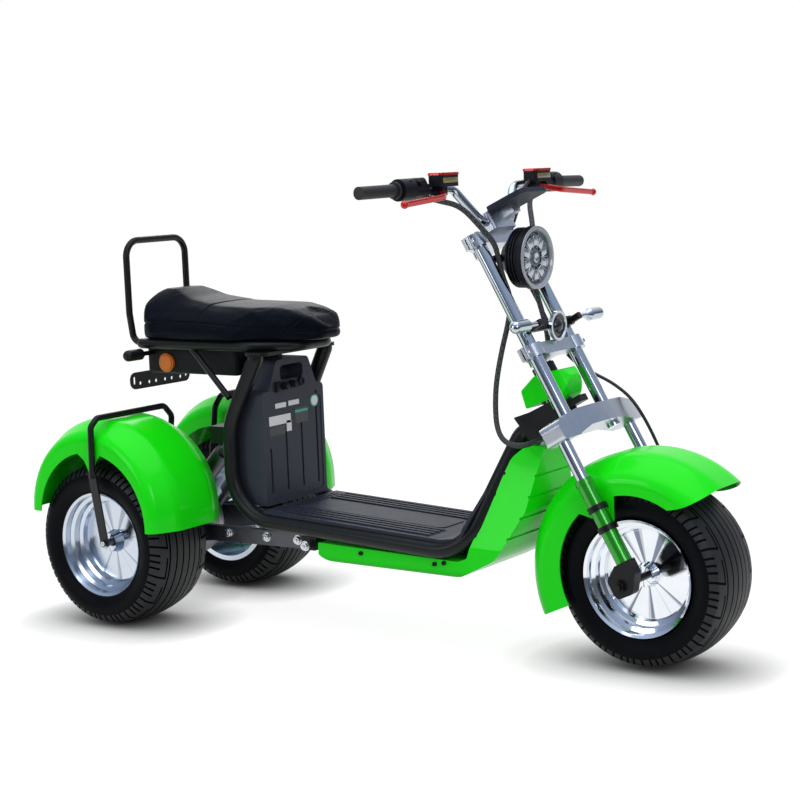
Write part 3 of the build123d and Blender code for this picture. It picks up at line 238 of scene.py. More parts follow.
def finish(name, colour, second, rough, spread=0.05, scale=30.0, relief=0.1, metal=0.0, coat=0.0, shine=0.5):
    """A finish with a slow change of tone and gloss and a fine relief, on the piece's own coordinates."""
    made = bpy.data.materials.new(name)
    made.use_nodes = True
    tree = made.node_tree
    shader = tree.nodes["Principled BSDF"]
    coordinate = tree.nodes.new("ShaderNodeTexCoord")
    group = tree.nodes.new("ShaderNodeGroup")
    group.name = "grain"
    group.node_tree = grain
    group.inputs["Scale"].default_value = scale
    tree.links.new(coordinate.outputs["Object"], group.inputs["Vector"])
    blend = tree.nodes.new("ShaderNodeMix")
    blend.name = "tone"
    blend.data_type = "RGBA"
    blend.inputs["A"].default_value = (*colour, 1)
    blend.inputs["B"].default_value = (*second, 1)
    tree.links.new(group.outputs["Tone"], blend.inputs["Factor"])
    tree.links.new(blend.outputs["Result"], shader.inputs["Base Color"])
    gloss = tree.nodes.new("ShaderNodeMapRange")
    gloss.inputs["To Min"].default_value = rough - spread
    gloss.inputs["To Max"].default_value = rough + spread
    tree.links.new(group.outputs["Tone"], gloss.inputs["Value"])
    tree.links.new(gloss.outputs["Result"], shader.inputs["Roughness"])
    bump = tree.nodes.new("ShaderNodeBump")
    bump.name = "relief"
    bump.inputs["Strength"].default_value = relief
    bump.inputs["Distance"].default_value = 0.001
    tree.links.new(group.outputs["Height"], bump.inputs["Height"])
    tree.links.new(bump.outputs["Normal"], shader.inputs["Normal"])
    shader.inputs["Metallic"].default_value = metal
    shader.inputs["Specular IOR Level"].default_value = shine
    shader.inputs["Coat Weight"].default_value = coat
    shader.inputs["Coat Roughness"].default_value = 0.04
    return made


def braid(name, colour, second, turns, pitch):
    """A woven sleeve: two sets of strands cross at a slant along the cord."""
    made = finish(
        name, colour, second,
        rough=0.5, spread=0.08, scale=60, relief=0.1,
    )
    tree = made.node_tree
    along = tree.nodes.new("ShaderNodeUVMap")
    strands = []
    for slant in (1, -1):
        turn = tree.nodes.new("ShaderNodeMapping")
        turn.inputs["Scale"].default_value = (pitch, turns * slant, 1)
        wave = tree.nodes.new("ShaderNodeTexWave")
        wave.wave_type = "BANDS"
        wave.bands_direction = "DIAGONAL"
        wave.inputs["Scale"].default_value = 1.0
        tree.links.new(along.outputs["UV"], turn.inputs["Vector"])
        tree.links.new(turn.outputs["Vector"], wave.inputs["Vector"])
        strands.append(wave)
    weave = tree.nodes.new("ShaderNodeMath")
    weave.operation = "MAXIMUM"
    tree.links.new(strands[0].outputs["Fac"], weave.inputs[0])
    tree.links.new(strands[1].outputs["Fac"], weave.inputs[1])
    tree.links.new(weave.outputs[0], tree.nodes["tone"].inputs["Factor"])
    tree.links.new(weave.outputs[0], tree.nodes["relief"].inputs["Height"])
    tree.nodes["relief"].inputs["Strength"].default_value = 0.8
    return made


def laid_curve(name, route, radius):
    """A smooth round cord whose control points are the route's points."""
    line = bpy.data.curves.new(name, "CURVE")
    line.dimensions = "3D"
    line.resolution_u = 8
    spline = line.splines.new("NURBS")
    spline.points.add(len(route) - 1)
    for point, place in zip(spline.points, route):
        point.co = (*place, 1)
    spline.order_u = 3
    spline.use_endpoint_u = True
    piece = bpy.data.objects.new(name, line)
    scene.collection.objects.link(piece)
    path = [v.co.copy() for v in bpy.data.meshes.new_from_object(piece).vertices]
    line.bevel_depth = radius
    line.bevel_resolution = 3
    line.use_fill_caps = True
    return piece, path


sleeve = braid("braided_sleeve", (0.002, 0.002, 0.003), (0.055, 0.057, 0.065), 2, 44)
right_route = [
    at(1004, -262, 1091), at(1008, -212, 1080), at(1030, -150, 1066), at(1062, -112, 1010),
    at(1078, -86, 976), at(1077, -69, 937), at(1081, -61, 896), at(1100, -57, 848),
    at(1101, -72, 794), at(1090, -88, 730), at(1077, -97, 655), at(1075, -102, 595),
    at(1084, -112, 548), at(1104, -120, 520), at(1132, -116, 508), at(1154, -98, 508),
    at(1162, -72, 514), at(1162, -46, 514),
]
left_route = [
    at(1004, 262, 1091), at(1008, 212, 1080), at(1030, 150, 1066), at(1062, 112, 1010), at(1078, 86, 976),
    at(1077, 69, 937), at(1081, 61, 896), at(1102, 55, 848), at(1120, 52, 798), at(1130, 56, 742),
    at(1122, 66, 684), at(1104, 86, 632), at(1088, 104, 588), at(1087, 113, 550), at(1104, 120, 520),
    at(1132, 116, 508), at(1154, 98, 508), at(1162, 72, 514), at(1162, 46, 514),
]
loom_diameter = 0.013
for name, route in (("right_loom", right_route), ("left_loom", left_route)):
    loom, path = laid_curve(name + "_sleeve", route, loom_diameter / 2)
    bpy.ops.object.select_all(action="DESELECT")
    loom.select_set(True)
    bpy.context.view_layer.objects.active = loom
    bpy.ops.object.convert(target="MESH")
    loom = bpy.context.object
    loom.data.materials.clear()
    loom.data.materials.append(sleeve)
    bpy.ops.object.shade_smooth()
    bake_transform(loom)
    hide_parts(name)

# Front brake hose: a rubber hose from the left brake cylinder to the front caliper.
# It runs down behind the fork tube and past the bridge, and turns with the fork.
hose_rubber = finish(
    "hose_rubber", (0.008, 0.008, 0.009), (0.02, 0.02, 0.022),
    rough=0.42, spread=0.06, scale=40, relief=0.15,
)
hose_route = [
    on_fork(86, 174, 984), on_fork(84, 146, 976), on_fork(66, 128, 948), on_fork(34, 120, 916),
    on_fork(-6, 110, 878), on_fork(-12, 106, 830), on_fork(-13, 104, 760), on_fork(-12, 105, 690),
    on_fork(-13, 104, 620), on_fork(-10, 106, 566), on_fork(2, 114, 520), on_fork(30, 122, 480),
    on_fork(60, 124, 440), on_fork(84, 128, 385), on_fork(78, 150, 305), on_fork(64, 162, 220),
    on_fork(62, 162, 146), on_fork(64, 148, 104), on_fork(66, 122, 84), on_fork(66, 98, 80),
    on_fork(66, 75, 80),
]
hose_diameter = 0.008
hose, path = laid_curve("front_brake_hose", hose_route, hose_diameter / 2)
hose.data.materials.append(hose_rubber)
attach(hose, "steering")
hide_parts("brake_hose")

# Frame: bent rails, the neck, the seat loop, struts and hoops, all welded tube in black powder coat.
# The coat is satin, with a fine orange peel that softens its highlights.
black_coat = finish(
    "black_powder_coat", (0.004, 0.0045, 0.005), (0.008, 0.009, 0.010),
    rough=0.36, spread=0.05, scale=22, relief=0.12, shine=0.25,
)


def dress(material, *names):
    for name in names:
        nodes[name].data.materials.clear()
        nodes[name].data.materials.append(material)


dress(
    black_coat, "rail_right", "rail_left", "head_tube", "seat_frame", "seat_struts", "backrest_hoop",
    "guard_hoop_right", "guard_hoop_left", "arm_pivot", "shock_tower", "plate_bracket", "lamp_bar",
    "axle_lugs",
)

# Rear axle: a beam, trailing arms and shocks of dark plated steel, bolted and welded together.
# The motor on the beam is a cast alloy drum with cooling fins, and the front disc is bright zinc.
zinc_steel = finish(
    "zinc_steel", (0.32, 0.33, 0.35), (0.5, 0.51, 0.53),
    rough=0.42, spread=0.1, scale=26, relief=0.2, metal=1.0,
)
dark_steel = finish(
    "dark_steel", (0.09, 0.095, 0.11), (0.17, 0.175, 0.19),
    rough=0.44, spread=0.08, scale=26, relief=0.2, metal=1.0,
)
cast_alloy = finish(
    "cast_alloy", (0.5, 0.51, 0.53), (0.62, 0.63, 0.65),
    rough=0.45, spread=0.08, scale=60, relief=0.35, metal=1.0,
)
dress(zinc_steel, "front_disc")
dress(dark_steel, "axle_beam", "trailing_arms", "rear_shocks")
dress(cast_alloy, "motor")

# Deck: one moulded plastic board with lengthwise ribs, a smooth middle pad and a turned-up front.
# The plastic is dark blue-grey with a fine moulded grain.
moulded = finish(
    "moulded_plastic", (0.005, 0.0055, 0.008), (0.010, 0.011, 0.016),
    rough=0.46, spread=0.06, scale=34, relief=0.35, shine=0.16,
)
dress(moulded, "seat_box", "headlamp", "front_caliper")
deck_plastic = finish(
    "deck_plastic", (0.018, 0.022, 0.036), (0.03, 0.036, 0.056),
    rough=0.55, spread=0.06, scale=34, relief=0.4, shine=0.2,
)
dress(deck_plastic, "footboard", "display")

# Cowl and head cover: green gloss mouldings that close the belly and the neck.
# The paint is one vivid solid colour under clear lacquer.
green = finish(
    "green_lacquer", (0.007, 0.84, 0.005), (0.010, 0.92, 0.007),
    rough=0.3, spread=0.04, scale=5, relief=0.015, coat=0.16, shine=0.12,
)
dress(green, "belly_cowl", "head_cover", "rear_guard_right", "rear_guard_left", "front_guard")
leg_green = finish(
    "green_anodise", (0.012, 0.3, 0.008), (0.018, 0.4, 0.012),
    rough=0.24, spread=0.04, scale=18, relief=0.03, metal=0.45, coat=0.5,
)
dress(leg_green, "sliders")

# Battery: a removable case with a handle through its top, a bordered face and shallow grooves.
# It is the same plastic as the deck, a shade bluer, and lifts out of its dock by the handle.
case_plastic = finish(
    "case_plastic", (0.026, 0.031, 0.046), (0.038, 0.045, 0.064),
    rough=0.5, spread=0.06, scale=34, relief=0.35, shine=0.3,
)
dress(case_plastic, "battery")

# Seat: black leather-look cover pulled over foam on a pan, stepped up behind the rider.
# The cover is sewn from a top panel and side panels, and the foam swells it between the seams.
hide = finish(
    "seat_leather", (0.0012, 0.0014, 0.0024), (0.003, 0.0035, 0.006),
    rough=0.44, spread=0.06, scale=50, relief=0.3, shine=0.09,
)
creases = hide.node_tree
cells = creases.nodes.new("ShaderNodeTexVoronoi")
cells.feature = "DISTANCE_TO_EDGE"
cells.inputs["Scale"].default_value = 420
creases.links.new(creases.nodes["grain"].inputs["Vector"].links[0].from_socket, cells.inputs["Vector"])
creases.links.new(cells.outputs["Distance"], creases.nodes["relief"].inputs["Height"])
creases.nodes["Principled BSDF"].inputs["Specular Tint"].default_value = (0.45, 0.62, 1.0, 1)
bpy.ops.object.select_all(action="DESELECT")
cushion = nodes["seat"].copy()
cushion.data = nodes["seat"].data.copy()
for key in list(cushion.keys()):
    del cushion[key]
cushion.parent = None
cushion.name = "seat_cushion"
scene.collection.objects.link(cushion)
cushion.select_set(True)
bpy.context.view_layer.objects.active = cushion
bpy.ops.object.mode_set(mode="EDIT")
bpy.ops.mesh.select_all(action="SELECT")
bpy.ops.mesh.remove_doubles(threshold=0.00005)
bpy.ops.object.mode_set(mode="OBJECT")
voxels = cushion.modifiers.new("voxels", "REMESH")
voxels.mode = "VOXEL"
voxels.voxel_size = 0.006
voxels.use_smooth_shade = True
bpy.ops.object.modifier_apply(modifier="voxels")
relax = cushion.modifiers.new("relax", "SMOOTH")
relax.factor = 0.5
relax.iterations = 12
bpy.ops.object.modifier_apply(modifier="relax")
seat_foot = 0.733
most_swell = 0.006
start = [v.co.copy() for v in cushion.data.vertices]
pinned = cushion.vertex_groups.new(name="pan")
pinned.add([i for i, v in enumerate(start) if v.z < seat_foot + 0.012], 1.0, "REPLACE")
swell = cushion.modifiers.new("swell", "CLOTH")
swell.settings.use_pressure = True
swell.settings.uniform_pressure_force = 2.5
swell.settings.effector_weights.gravity = 0
swell.settings.vertex_group_mass = "pan"
swell.settings.quality = 4
swell.point_cache.frame_end = 20
for step in range(1, 21):
    scene.frame_set(step)
bpy.ops.object.modifier_apply(modifier="swell")
scene.frame_set(1)
for vertex, before in zip(cushion.data.vertices, start):
    move = vertex.co - before
    if move.length > most_swell:
        vertex.co = before + move * (most_swell / move.length)
bpy.ops.object.select_all(action="DESELECT")
cushion.select_set(True)
bpy.context.view_layer.objects.active = cushion
finer_skin = cushion.modifiers.new("finer", "SUBSURF")
finer_skin.levels = 1
finer_skin.render_levels = 1
bpy.ops.object.modifier_apply(modifier="finer")
seat_low, seat_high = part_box("seat")
seam_depth = 0.0036
crown = 0.014
skin_normals = [v.normal.copy() for v in cushion.data.vertices]
for vertex, normal in zip(cushion.data.vertices, skin_normals):
    x, y, z = vertex.co
    x_mm, y_mm = x * 1000 + 706, abs(y * 1000)
    seam_height = seat_foot + 0.034 + 0.018 * math.cos((x_mm - 150) / 160)
    welt = math.exp(-((z - seam_height) / 0.0028) ** 2) * (1 - abs(normal.z))
    step_x = 186 + 26 * (1 - (y_mm / 150) ** 2)
    step = math.exp(-((x_mm - step_x) / 3.2) ** 2) * max(normal.z, 0.0)
    nose = math.exp(-((x_mm - (430 + 0.9 * (z - seat_foot) * 1000)) / 3.0) ** 2) * (1 - abs(normal.z))
    vertex.co = vertex.co - normal * seam_depth * min(1.0, welt + step + nose)
    vertex.co.z -= crown * (y_mm / 150) ** 2 * max(0.0, min(1.0, (z - seat_foot - 0.03) / 0.05))
    vertex.co.z = min(vertex.co.z, seat_high.z)
    vertex.co.x = max(min(vertex.co.x, seat_high.x), seat_low.x)
cushion.data.materials.clear()
cushion.data.materials.append(hide)
bpy.ops.object.shade_smooth()
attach(cushion, "chassis")
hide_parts("seat")

# Tyres: wide low black rubber, with ribs round the middle and angled grooves on the shoulders.
# They are moulded in one piece, with grooves about four millimetres deep.
tread_rubber = finish(
    "tread_rubber", (0.011, 0.012, 0.014), (0.020, 0.021, 0.024),
    rough=0.52, spread=0.08, scale=30, relief=0.35, shine=0.35,
)
# Painted shade: the walls are the same moulded rubber as the tread, painted darker as shade.
wall_shade_rubber = finish(
    "wall_shade_rubber", (0.0012, 0.0015, 0.0025), (0.0025, 0.003, 0.005),
    rough=0.5, spread=0.08, scale=30, relief=0.3, shine=0.08,
)
# Painted shade: the grooves are painted near black, as shade in the recesses.
groove_shade_rubber = finish(
    "groove_shade_rubber", (0.001, 0.001, 0.001), (0.002, 0.002, 0.002),
    rough=0.8, spread=0.05, scale=30, relief=0.2, shine=0.05,
)
half_track = 250
spots = {
    "front": ("front_wheel", at(WHEELBASE, 0, AXLE_HEIGHT)),
    "rear_right": ("rear_right_wheel", at(0, -half_track, AXLE_HEIGHT)),
    "rear_left": ("rear_left_wheel", at(0, half_track, AXLE_HEIGHT)),
}
tread_radius = 0.2168
shoulder_drop = 0.013
half = [(0.0045 * k, tread_radius - shoulder_drop * (k / 20) ** 2) for k in range(21)]
half_width = 0.107
widest = 0.172
bead_radius = 0.1365
for k in range(1, 11):
    out = 0.204 - 0.0627 * k / 10
    curve = 17.3 if out > widest else 13.8
    half.append((half_width - curve * (out - widest) ** 2, out))
half += [(0.094, bead_radius), (0.047, bead_radius)]
section = half + [(0.0, bead_radius)] + [(-w, r) for w, r in reversed(half[1:])]
ring = len(section)
blocks = 16
block_steps = 14
steps = blocks * block_steps
groove_depth = 0.0045
for wheel, (body, centre) in spots.items():
    bpy.ops.object.select_all(action="DESELECT")
    bpy.ops.mesh.primitive_torus_add(
        major_segments=steps, minor_segments=ring, major_radius=0.18, minor_radius=0.04, location=(0, 0, 0)
    )
    tyre = bpy.context.object
    for vertex in tyre.data.vertices:
        turn, across = divmod(vertex.index, ring)
        wide, out = section[across]
        lean = 0.055 * max(0.0, min(1.0, (abs(wide) - 0.058) / 0.045)) if out > 0.19 else 0.055
        angle = 2 * math.pi * turn / steps + lean
        vertex.co = centre + Vector((out * math.cos(angle), -wide, out * math.sin(angle)))
    for face in tyre.data.polygons:
        turns = sorted({i // ring for i in face.vertices})
        turn = turns[-1] if turns[-1] - turns[0] > 1 else turns[0]
        columns = sorted({i % ring for i in face.vertices})
        column = columns[-1] if columns[-1] - columns[0] > 1 else columns[0]
        column = min(column, ring - 1 - column)
        place = turn % block_steps
        rib = column in (2, 7, 12)
        corner = (place == 0 and 14 <= column <= 22) or (column == 14 and place < 10)
        tick = place in (4, 7, 10) and 19 <= column <= 22
        face.select = rib or corner or tick
        # Grooves take the painted-shade groove rubber, walls the painted-shade wall rubber, and the tread
        # keeps the plain rubber.
        face.material_index = 2 if face.select else 1 if column > 22 else 0
    bpy.ops.object.mode_set(mode="EDIT")
    bpy.ops.mesh.select_mode(type="FACE")
    bpy.ops.mesh.inset(thickness=0.0004, depth=-groove_depth, use_boundary=True)
    bpy.ops.object.mode_set(mode="OBJECT")
    tyre.name = wheel + "_tread"
    for rubber in (tread_rubber, wall_shade_rubber, groove_shade_rubber):
        tyre.data.materials.append(rubber)
    bpy.ops.object.shade_smooth_by_angle(angle=math.radians(32))
    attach(tyre, body)
    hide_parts(wheel + "_tyre")

# Rims: spun alloy dishes with fine lathe rings, the front one polished brighter than the rear ones.
# Each pattern of lathe rings and of painted reflection streaks (dark radial streaks standing for reflected
# branches) is centred on its own axle.
for wheel, (body, centre) in spots.items():
    if wheel == "front":
        polished = finish(
            "front_polish", (0.72, 0.76, 0.82), (0.86, 0.88, 0.92),
            rough=0.07, spread=0.03, scale=14, relief=0.05, metal=1.0,
        )
    else:
        polished = finish(
            wheel + "_polish", (0.52, 0.58, 0.66), (0.64, 0.69, 0.76),
            rough=0.15, spread=0.04, scale=14, relief=0.05, metal=1.0,
        )
    tree = polished.node_tree
    centred = tree.nodes.new("ShaderNodeMapping")
    centred.inputs["Location"].default_value = (-centre.x, 0, -centre.z)
    centred.inputs["Scale"].default_value = (1, 0, 1)
    rings = tree.nodes.new("ShaderNodeTexWave")
    rings.wave_type = "RINGS"
    rings.rings_direction = "SPHERICAL"
    rings.inputs["Scale"].default_value = 130
    rings.inputs["Distortion"].default_value = 0.4
    tree.links.new(tree.nodes["grain"].inputs["Vector"].links[0].from_socket, centred.inputs["Vector"])
    tree.links.new(centred.outputs["Vector"], rings.inputs["Vector"])
    tree.links.new(rings.outputs["Fac"], tree.nodes["relief"].inputs["Height"])
    tree.nodes["relief"].inputs["Strength"].default_value = 0.04
    faced = tree.nodes.new("ShaderNodeMapping")
    faced.vector_type = "TEXTURE"
    faced.inputs["Location"].default_value = centre
    faced.inputs["Rotation"].default_value = (math.radians(90), 0, 0)
    tree.links.new(tree.nodes["grain"].inputs["Vector"].links[0].from_socket, faced.inputs["Vector"])
    angle = tree.nodes.new("ShaderNodeTexGradient")
    angle.gradient_type = "RADIAL"
    tree.links.new(faced.outputs["Vector"], angle.inputs["Vector"])
    # Painted reflection: dark radial streaks on the dish, painted into the base colour as reflected branches,
    # darker on the front rim.
    painted_reflection_streaks = tree.nodes.new("ShaderNodeTexNoise")
    painted_reflection_streaks.noise_dimensions = "1D"
    painted_reflection_streaks.inputs["Scale"].default_value = 21
    tree.links.new(angle.outputs["Fac"], painted_reflection_streaks.inputs["W"])
    edges = tree.nodes.new("ShaderNodeMapRange")
    edges.inputs["From Min"].default_value = 0.44
    edges.inputs["From Max"].default_value = 0.36
    tree.links.new(painted_reflection_streaks.outputs["Fac"], edges.inputs["Value"])
    wheel_reach = tree.nodes.new("ShaderNodeVectorMath")
    wheel_reach.operation = "LENGTH"
    tree.links.new(centred.outputs["Vector"], wheel_reach.inputs[0])
    dish = tree.nodes.new("ShaderNodeMapRange")
    dish.inputs["From Min"].default_value = 0.112
    dish.inputs["From Max"].default_value = 0.1
    tree.links.new(wheel_reach.outputs["Value"], dish.inputs["Value"])
    painted_reflection_mask = tree.nodes.new("ShaderNodeMath")
    painted_reflection_mask.operation = "MULTIPLY"
    tree.links.new(edges.outputs["Result"], painted_reflection_mask.inputs[0])
    tree.links.new(dish.outputs["Result"], painted_reflection_mask.inputs[1])
    painted_reflection_mix = tree.nodes.new("ShaderNodeMix")
    painted_reflection_mix.data_type = "RGBA"
    painted_reflection_mix.inputs["B"].default_value = (0.2, 0.23, 0.29, 1) if wheel == "front" else (0.34, 0.38, 0.45, 1)
    tree.links.new(painted_reflection_mask.outputs[0], painted_reflection_mix.inputs["Factor"])
    tree.links.new(tree.nodes["tone"].outputs["Result"], painted_reflection_mix.inputs["A"])
    tree.links.new(painted_reflection_mix.outputs["Result"], tree.nodes["Principled BSDF"].inputs["Base Color"])
    dress(polished, wheel + "_rim")

# Fork: chromed tubes in polished alloy bridges, on green sliders with black axle lugs.
# The bridges are machined and satin, and pinch bolts close their slits on the tubes.
chrome = finish(
    "chrome", (0.46, 0.51, 0.56), (0.55, 0.6, 0.65),
    rough=0.09, spread=0.03, scale=20, relief=0.004, metal=1.0,
)
satin = finish(
    "satin_alloy", (0.5, 0.53, 0.58), (0.62, 0.65, 0.7),
    rough=0.3, spread=0.05, scale=40, relief=0.03, metal=1.0,
)
dress(chrome, "upper_tubes", "lower_tubes", "stem", "handlebar", "horn", "front_lamps")
dress(satin, "lower_bridge", "mid_clamp", "top_clamp", "bar_clamp")
dress(black_coat, "guard_bands", "rear_lamps")


def settle(piece, name, body, material, angle=35):
    """Names a finished piece, puts its place into its mesh, and fixes it to a body."""
    bpy.ops.object.select_all(action="DESELECT")
    piece.select_set(True)
    bpy.context.view_layer.objects.active = piece
    bpy.ops.object.transform_apply(location=True, rotation=True, scale=True)
    bpy.ops.object.mode_set(mode="EDIT")
    bpy.ops.mesh.select_all(action="SELECT")
    bpy.ops.mesh.normals_make_consistent(inside=False)
    bpy.ops.object.mode_set(mode="OBJECT")
    piece.name = name
    piece.data.name = name
    piece.data.materials.clear()
    piece.data.materials.append(material)
    bpy.ops.object.shade_smooth_by_angle(angle=math.radians(angle))
    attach(piece, body)
    return piece


def turned(profile, around, centre, axis, capped=True):
    """A round piece along an axis: its profile's points are (distance along, radius), in millimetres."""
    bpy.ops.object.select_all(action="DESELECT")
    along, out = profile[0]
    bpy.ops.mesh.primitive_circle_add(vertices=around, radius=out / 1000, location=(0, 0, 0))
    piece = bpy.context.object
    bpy.ops.object.mode_set(mode="EDIT")
    bpy.ops.mesh.select_mode(type="VERT")
    bpy.ops.mesh.select_all(action="SELECT")
    bpy.ops.transform.translate(value=(0, 0, along / 1000))
    for further, wider in profile[1:]:
        bpy.ops.mesh.extrude_region_move(TRANSFORM_OT_translate={"value": (0, 0, (further - along) / 1000)})
        scale = wider / out
        bpy.ops.transform.resize(value=(scale, scale, 1), center_override=(0, 0, further / 1000))
        along, out = further, wider
    bpy.ops.mesh.select_all(action="SELECT")
    if capped:
        bpy.ops.mesh.fill_holes(sides=0)
    bpy.ops.mesh.select_all(action="SELECT")
    bpy.ops.mesh.normals_make_consistent(inside=False)
    bpy.ops.object.mode_set(mode="OBJECT")
    piece.rotation_mode = "QUATERNION"
    piece.rotation_quaternion = Vector((0, 0, 1)).rotation_difference(Vector(axis))
    piece.location = centre
    return piece


def joined(pieces):
    bpy.ops.object.select_all(action="DESELECT")
    for piece in pieces:
        piece.select_set(True)
        bpy.context.view_layer.objects.active = piece
        bpy.ops.object.transform_apply(location=True, rotation=True, scale=True)
        piece.select_set(False)
    for piece in pieces:
        piece.select_set(True)
    bpy.context.view_layer.objects.active = pieces[0]
    bpy.ops.object.join()
    return bpy.context.object


def block(size, bevel, centre, turn=(1, 0, 0, 0)):
    """A box with rounded edges, its size and rounding in millimetres."""
    bpy.ops.object.select_all(action="DESELECT")
    bpy.ops.mesh.primitive_cube_add(size=1, location=(0, 0, 0))
    piece = bpy.context.object
    piece.scale = [side / 1000 for side in size]
    bpy.ops.object.transform_apply(location=False, rotation=False, scale=True)
    if bevel:
        edge = piece.modifiers.new("edge", "BEVEL")
        edge.width = bevel / 1000
        edge.segments = 3
        bpy.ops.object.modifier_apply(modifier="edge")
    piece.rotation_mode = "QUATERNION"
    piece.rotation_quaternion = turn
    piece.location = centre
    return piece


# Fasteners: plated hexagon nuts on the axles and pivots, and socket screws in the clamps.
# Each has a washer face and a chamfered or domed end.
plated = finish(
    "plated_steel", (0.55, 0.56, 0.58), (0.7, 0.71, 0.73),
    rough=0.22, spread=0.05, scale=60, relief=0.05, metal=1.0,
)
ahead = Vector((math.cos(RAKE), 0, math.sin(RAKE)))
acorn = [(0, 12), (1.5, 12), (1.6, 9), (8, 9), (12, 7.5), (15, 4.5), (16.5, 0.5)]
socket = [(0, 5.5), (5.2, 5.5), (6, 4.8), (6, 2.7), (3, 2.7), (3, 0.3)]
for wheel, hand in (("rear_right", -1), ("rear_left", 1)):
    body, centre = spots[wheel]
    nut = turned(acorn, 12, centre + Vector((0, hand * 0.0745, 0)), (0, hand, 0))
    settle(nut, wheel + "_axle_nut", "chassis", plated, 28)
pinches = []
for level in (568, 859):
    for hand in (-1, 1):
        pinches.append(turned(socket, 14, on_fork(36, hand * 123, level), ahead))
settle(joined(pinches), "clamp_screws", "steering", plated)
cowl_spots = ((700, 221), (919, 215), (946, 220))
belly = [turned(socket, 14, at(x, -147.5, z), (0, -1, 0)) for x, z in cowl_spots]
belly += [turned(socket, 14, at(x, 147.5, z), (0, 1, 0)) for x, z in cowl_spots]
settle(joined(belly), "cowl_screws", "chassis", black_coat)
hexagon = [(0, 13), (1.6, 13), (1.7, 10), (8, 10), (9.5, 8.6), (9.6, 5), (12.5, 4.6), (13, 0.5)]
arm_bolts = []
for hand in (-1, 1):
    for x, z in ((255, 230), (383, 230), (485, 231)):
        arm_bolts.append(turned(hexagon, 12, at(x, hand * 126, z), (0, hand, 0)))
    arm_bolts.append(turned(hexagon, 12, at(540, hand * 166, 228), (0, hand, 0)))
settle(joined(arm_bolts), "arm_bolts", "chassis", plated, 28)

# Battery fittings: two plugs, a lock and a catch above the battery's face.
# They are moulded black plastic, pushed or screwed into the case.
plug = [(0, 9), (2, 10.5), (10, 10.5), (11, 8.5), (17, 8.5), (19, 6.5), (20, 0.5)]
lock = [(0, 12), (5, 12), (6.5, 10.5), (6.5, 7), (4.5, 6.5), (4.5, 0.5)]
fittings = [turned(plug, 20, at(392, -44, 612), (1, 0, 0)), turned(plug, 20, at(392, -10, 614), (1, 0, 0))]
fittings += [turned(lock, 24, at(392, 30, 616), (1, 0, 0)), block((9, 20, 26), 3, at(394, -66, 611))]
settle(joined(fittings), "battery_plugs", "chassis", moulded)

# Stickers: thin white paper, dark film and teal paper, stuck on the battery's face.
# The round one is a white disc on a teal ring.
paper = finish(
    "white_sticker", (0.86, 0.87, 0.88), (0.93, 0.94, 0.95),
    rough=0.5, spread=0.05, scale=40, relief=0.05,
)
film = finish(
    "dark_sticker", (0.012, 0.014, 0.02), (0.02, 0.023, 0.03),
    rough=0.3, spread=0.05, scale=40, relief=0.05,
)
teal = finish(
    "teal_sticker", (0.03, 0.42, 0.3), (0.04, 0.5, 0.36),
    rough=0.45, spread=0.05, scale=40, relief=0.05,
)
face_x = 388.2
white_plates = [(-52, 562, 44, 13), (2, 563, 44, 13), (-57, 525, 88, 24), (-21, 505, 20, 28)]
stickers = [block((0.6, w, h), 0, at(face_x, y, z)) for y, z, w, h in white_plates]
stickers.append(turned([(-0.2, 13), (0.9, 13)], 28, at(face_x, 88, 558), (1, 0, 0)))
settle(joined(stickers), "white_stickers", "chassis", paper)
stickers = [block((0.5, 64, 24), 0, at(face_x, -70, 498)), block((0.5, 54, 40), 0, at(face_x, 32, 527))]
settle(joined(stickers), "dark_stickers", "chassis", film)
stickers = [block((0.8, 54, 7), 0, at(face_x, 32, 538))]
stickers.append(turned([(-0.2, 17), (0.6, 17)], 28, at(face_x, 88, 558), (1, 0, 0)))
settle(joined(stickers), "colour_stickers", "chassis", teal)

# Grips: ribbed soft rubber sleeves with a flange at the inner end and a plain closed tip.
# They are pushed onto the bar's ends beside the throttle and switch housings.
grip_rubber = finish(
    "grip_rubber", (0.007, 0.007, 0.008), (0.016, 0.016, 0.018),
    rough=0.55, spread=0.06, scale=60, relief=0.3,
)
dress(grip_rubber, "grips")
dress(moulded, "switch_pods")

# Brake cylinders, caps and levers: black cylinders with red anodised caps and red levers.
# The anodising is a thin clear red over brushed metal.
red = finish(
    "red_anodise", (0.5, 0.006, 0.006), (0.62, 0.012, 0.01),
    rough=0.24, spread=0.05, scale=40, relief=0.05, metal=0.55, coat=0.5,
)
dress(moulded, "brake_cylinders")
dress(red, "levers", "reservoir_caps")
smoked = finish(
    "fluid_window", (0.16, 0.12, 0.03), (0.26, 0.2, 0.06),
    rough=0.25, spread=0.05, scale=40, relief=0.05, coat=0.6,
)
windows = []
for hand in (-1, 1):
    perch = on_fork(82, hand * 206, 980)
    windows.append(block((41, 62, 13), 2, perch + Vector((0, 0, 0.014))))
settle(joined(windows), "fluid_windows", "steering", smoked)

# Display: a flat dark screen let into the top of the instrument plate.
# The plate tips back towards the rider.
tilt = math.radians(24)
plate_normal = Vector((-math.sin(tilt), 0, math.cos(tilt)))
screen = block(
    (82, 94, 1.4), 0.5, on_fork(121, 0, 914.5) + 0.0052 * plate_normal,
    (math.cos(tilt / 2), 0, -math.sin(tilt / 2), 0),
)
glass = finish(
    "dark_glass", (0.02, 0.024, 0.034), (0.03, 0.036, 0.05),
    rough=0.12, spread=0.03, scale=20, relief=0.02, coat=0.6,
)
settle(screen, "display_screen", "steering", glass)

# Switch keys: rounded plastic keys on top of both switch housings.
# Each housing has a wide key and a taller one.
knobs = []
for hand in (-1, 1):
    knobs.append(block((12, 16, 9), 2.5, at(1012, hand * 285, 1123)))
    knobs.append(block((10, 12, 12), 2.5, at(1006, hand * 316, 1124)))
settle(joined(knobs), "switch_keys", "steering", moulded)

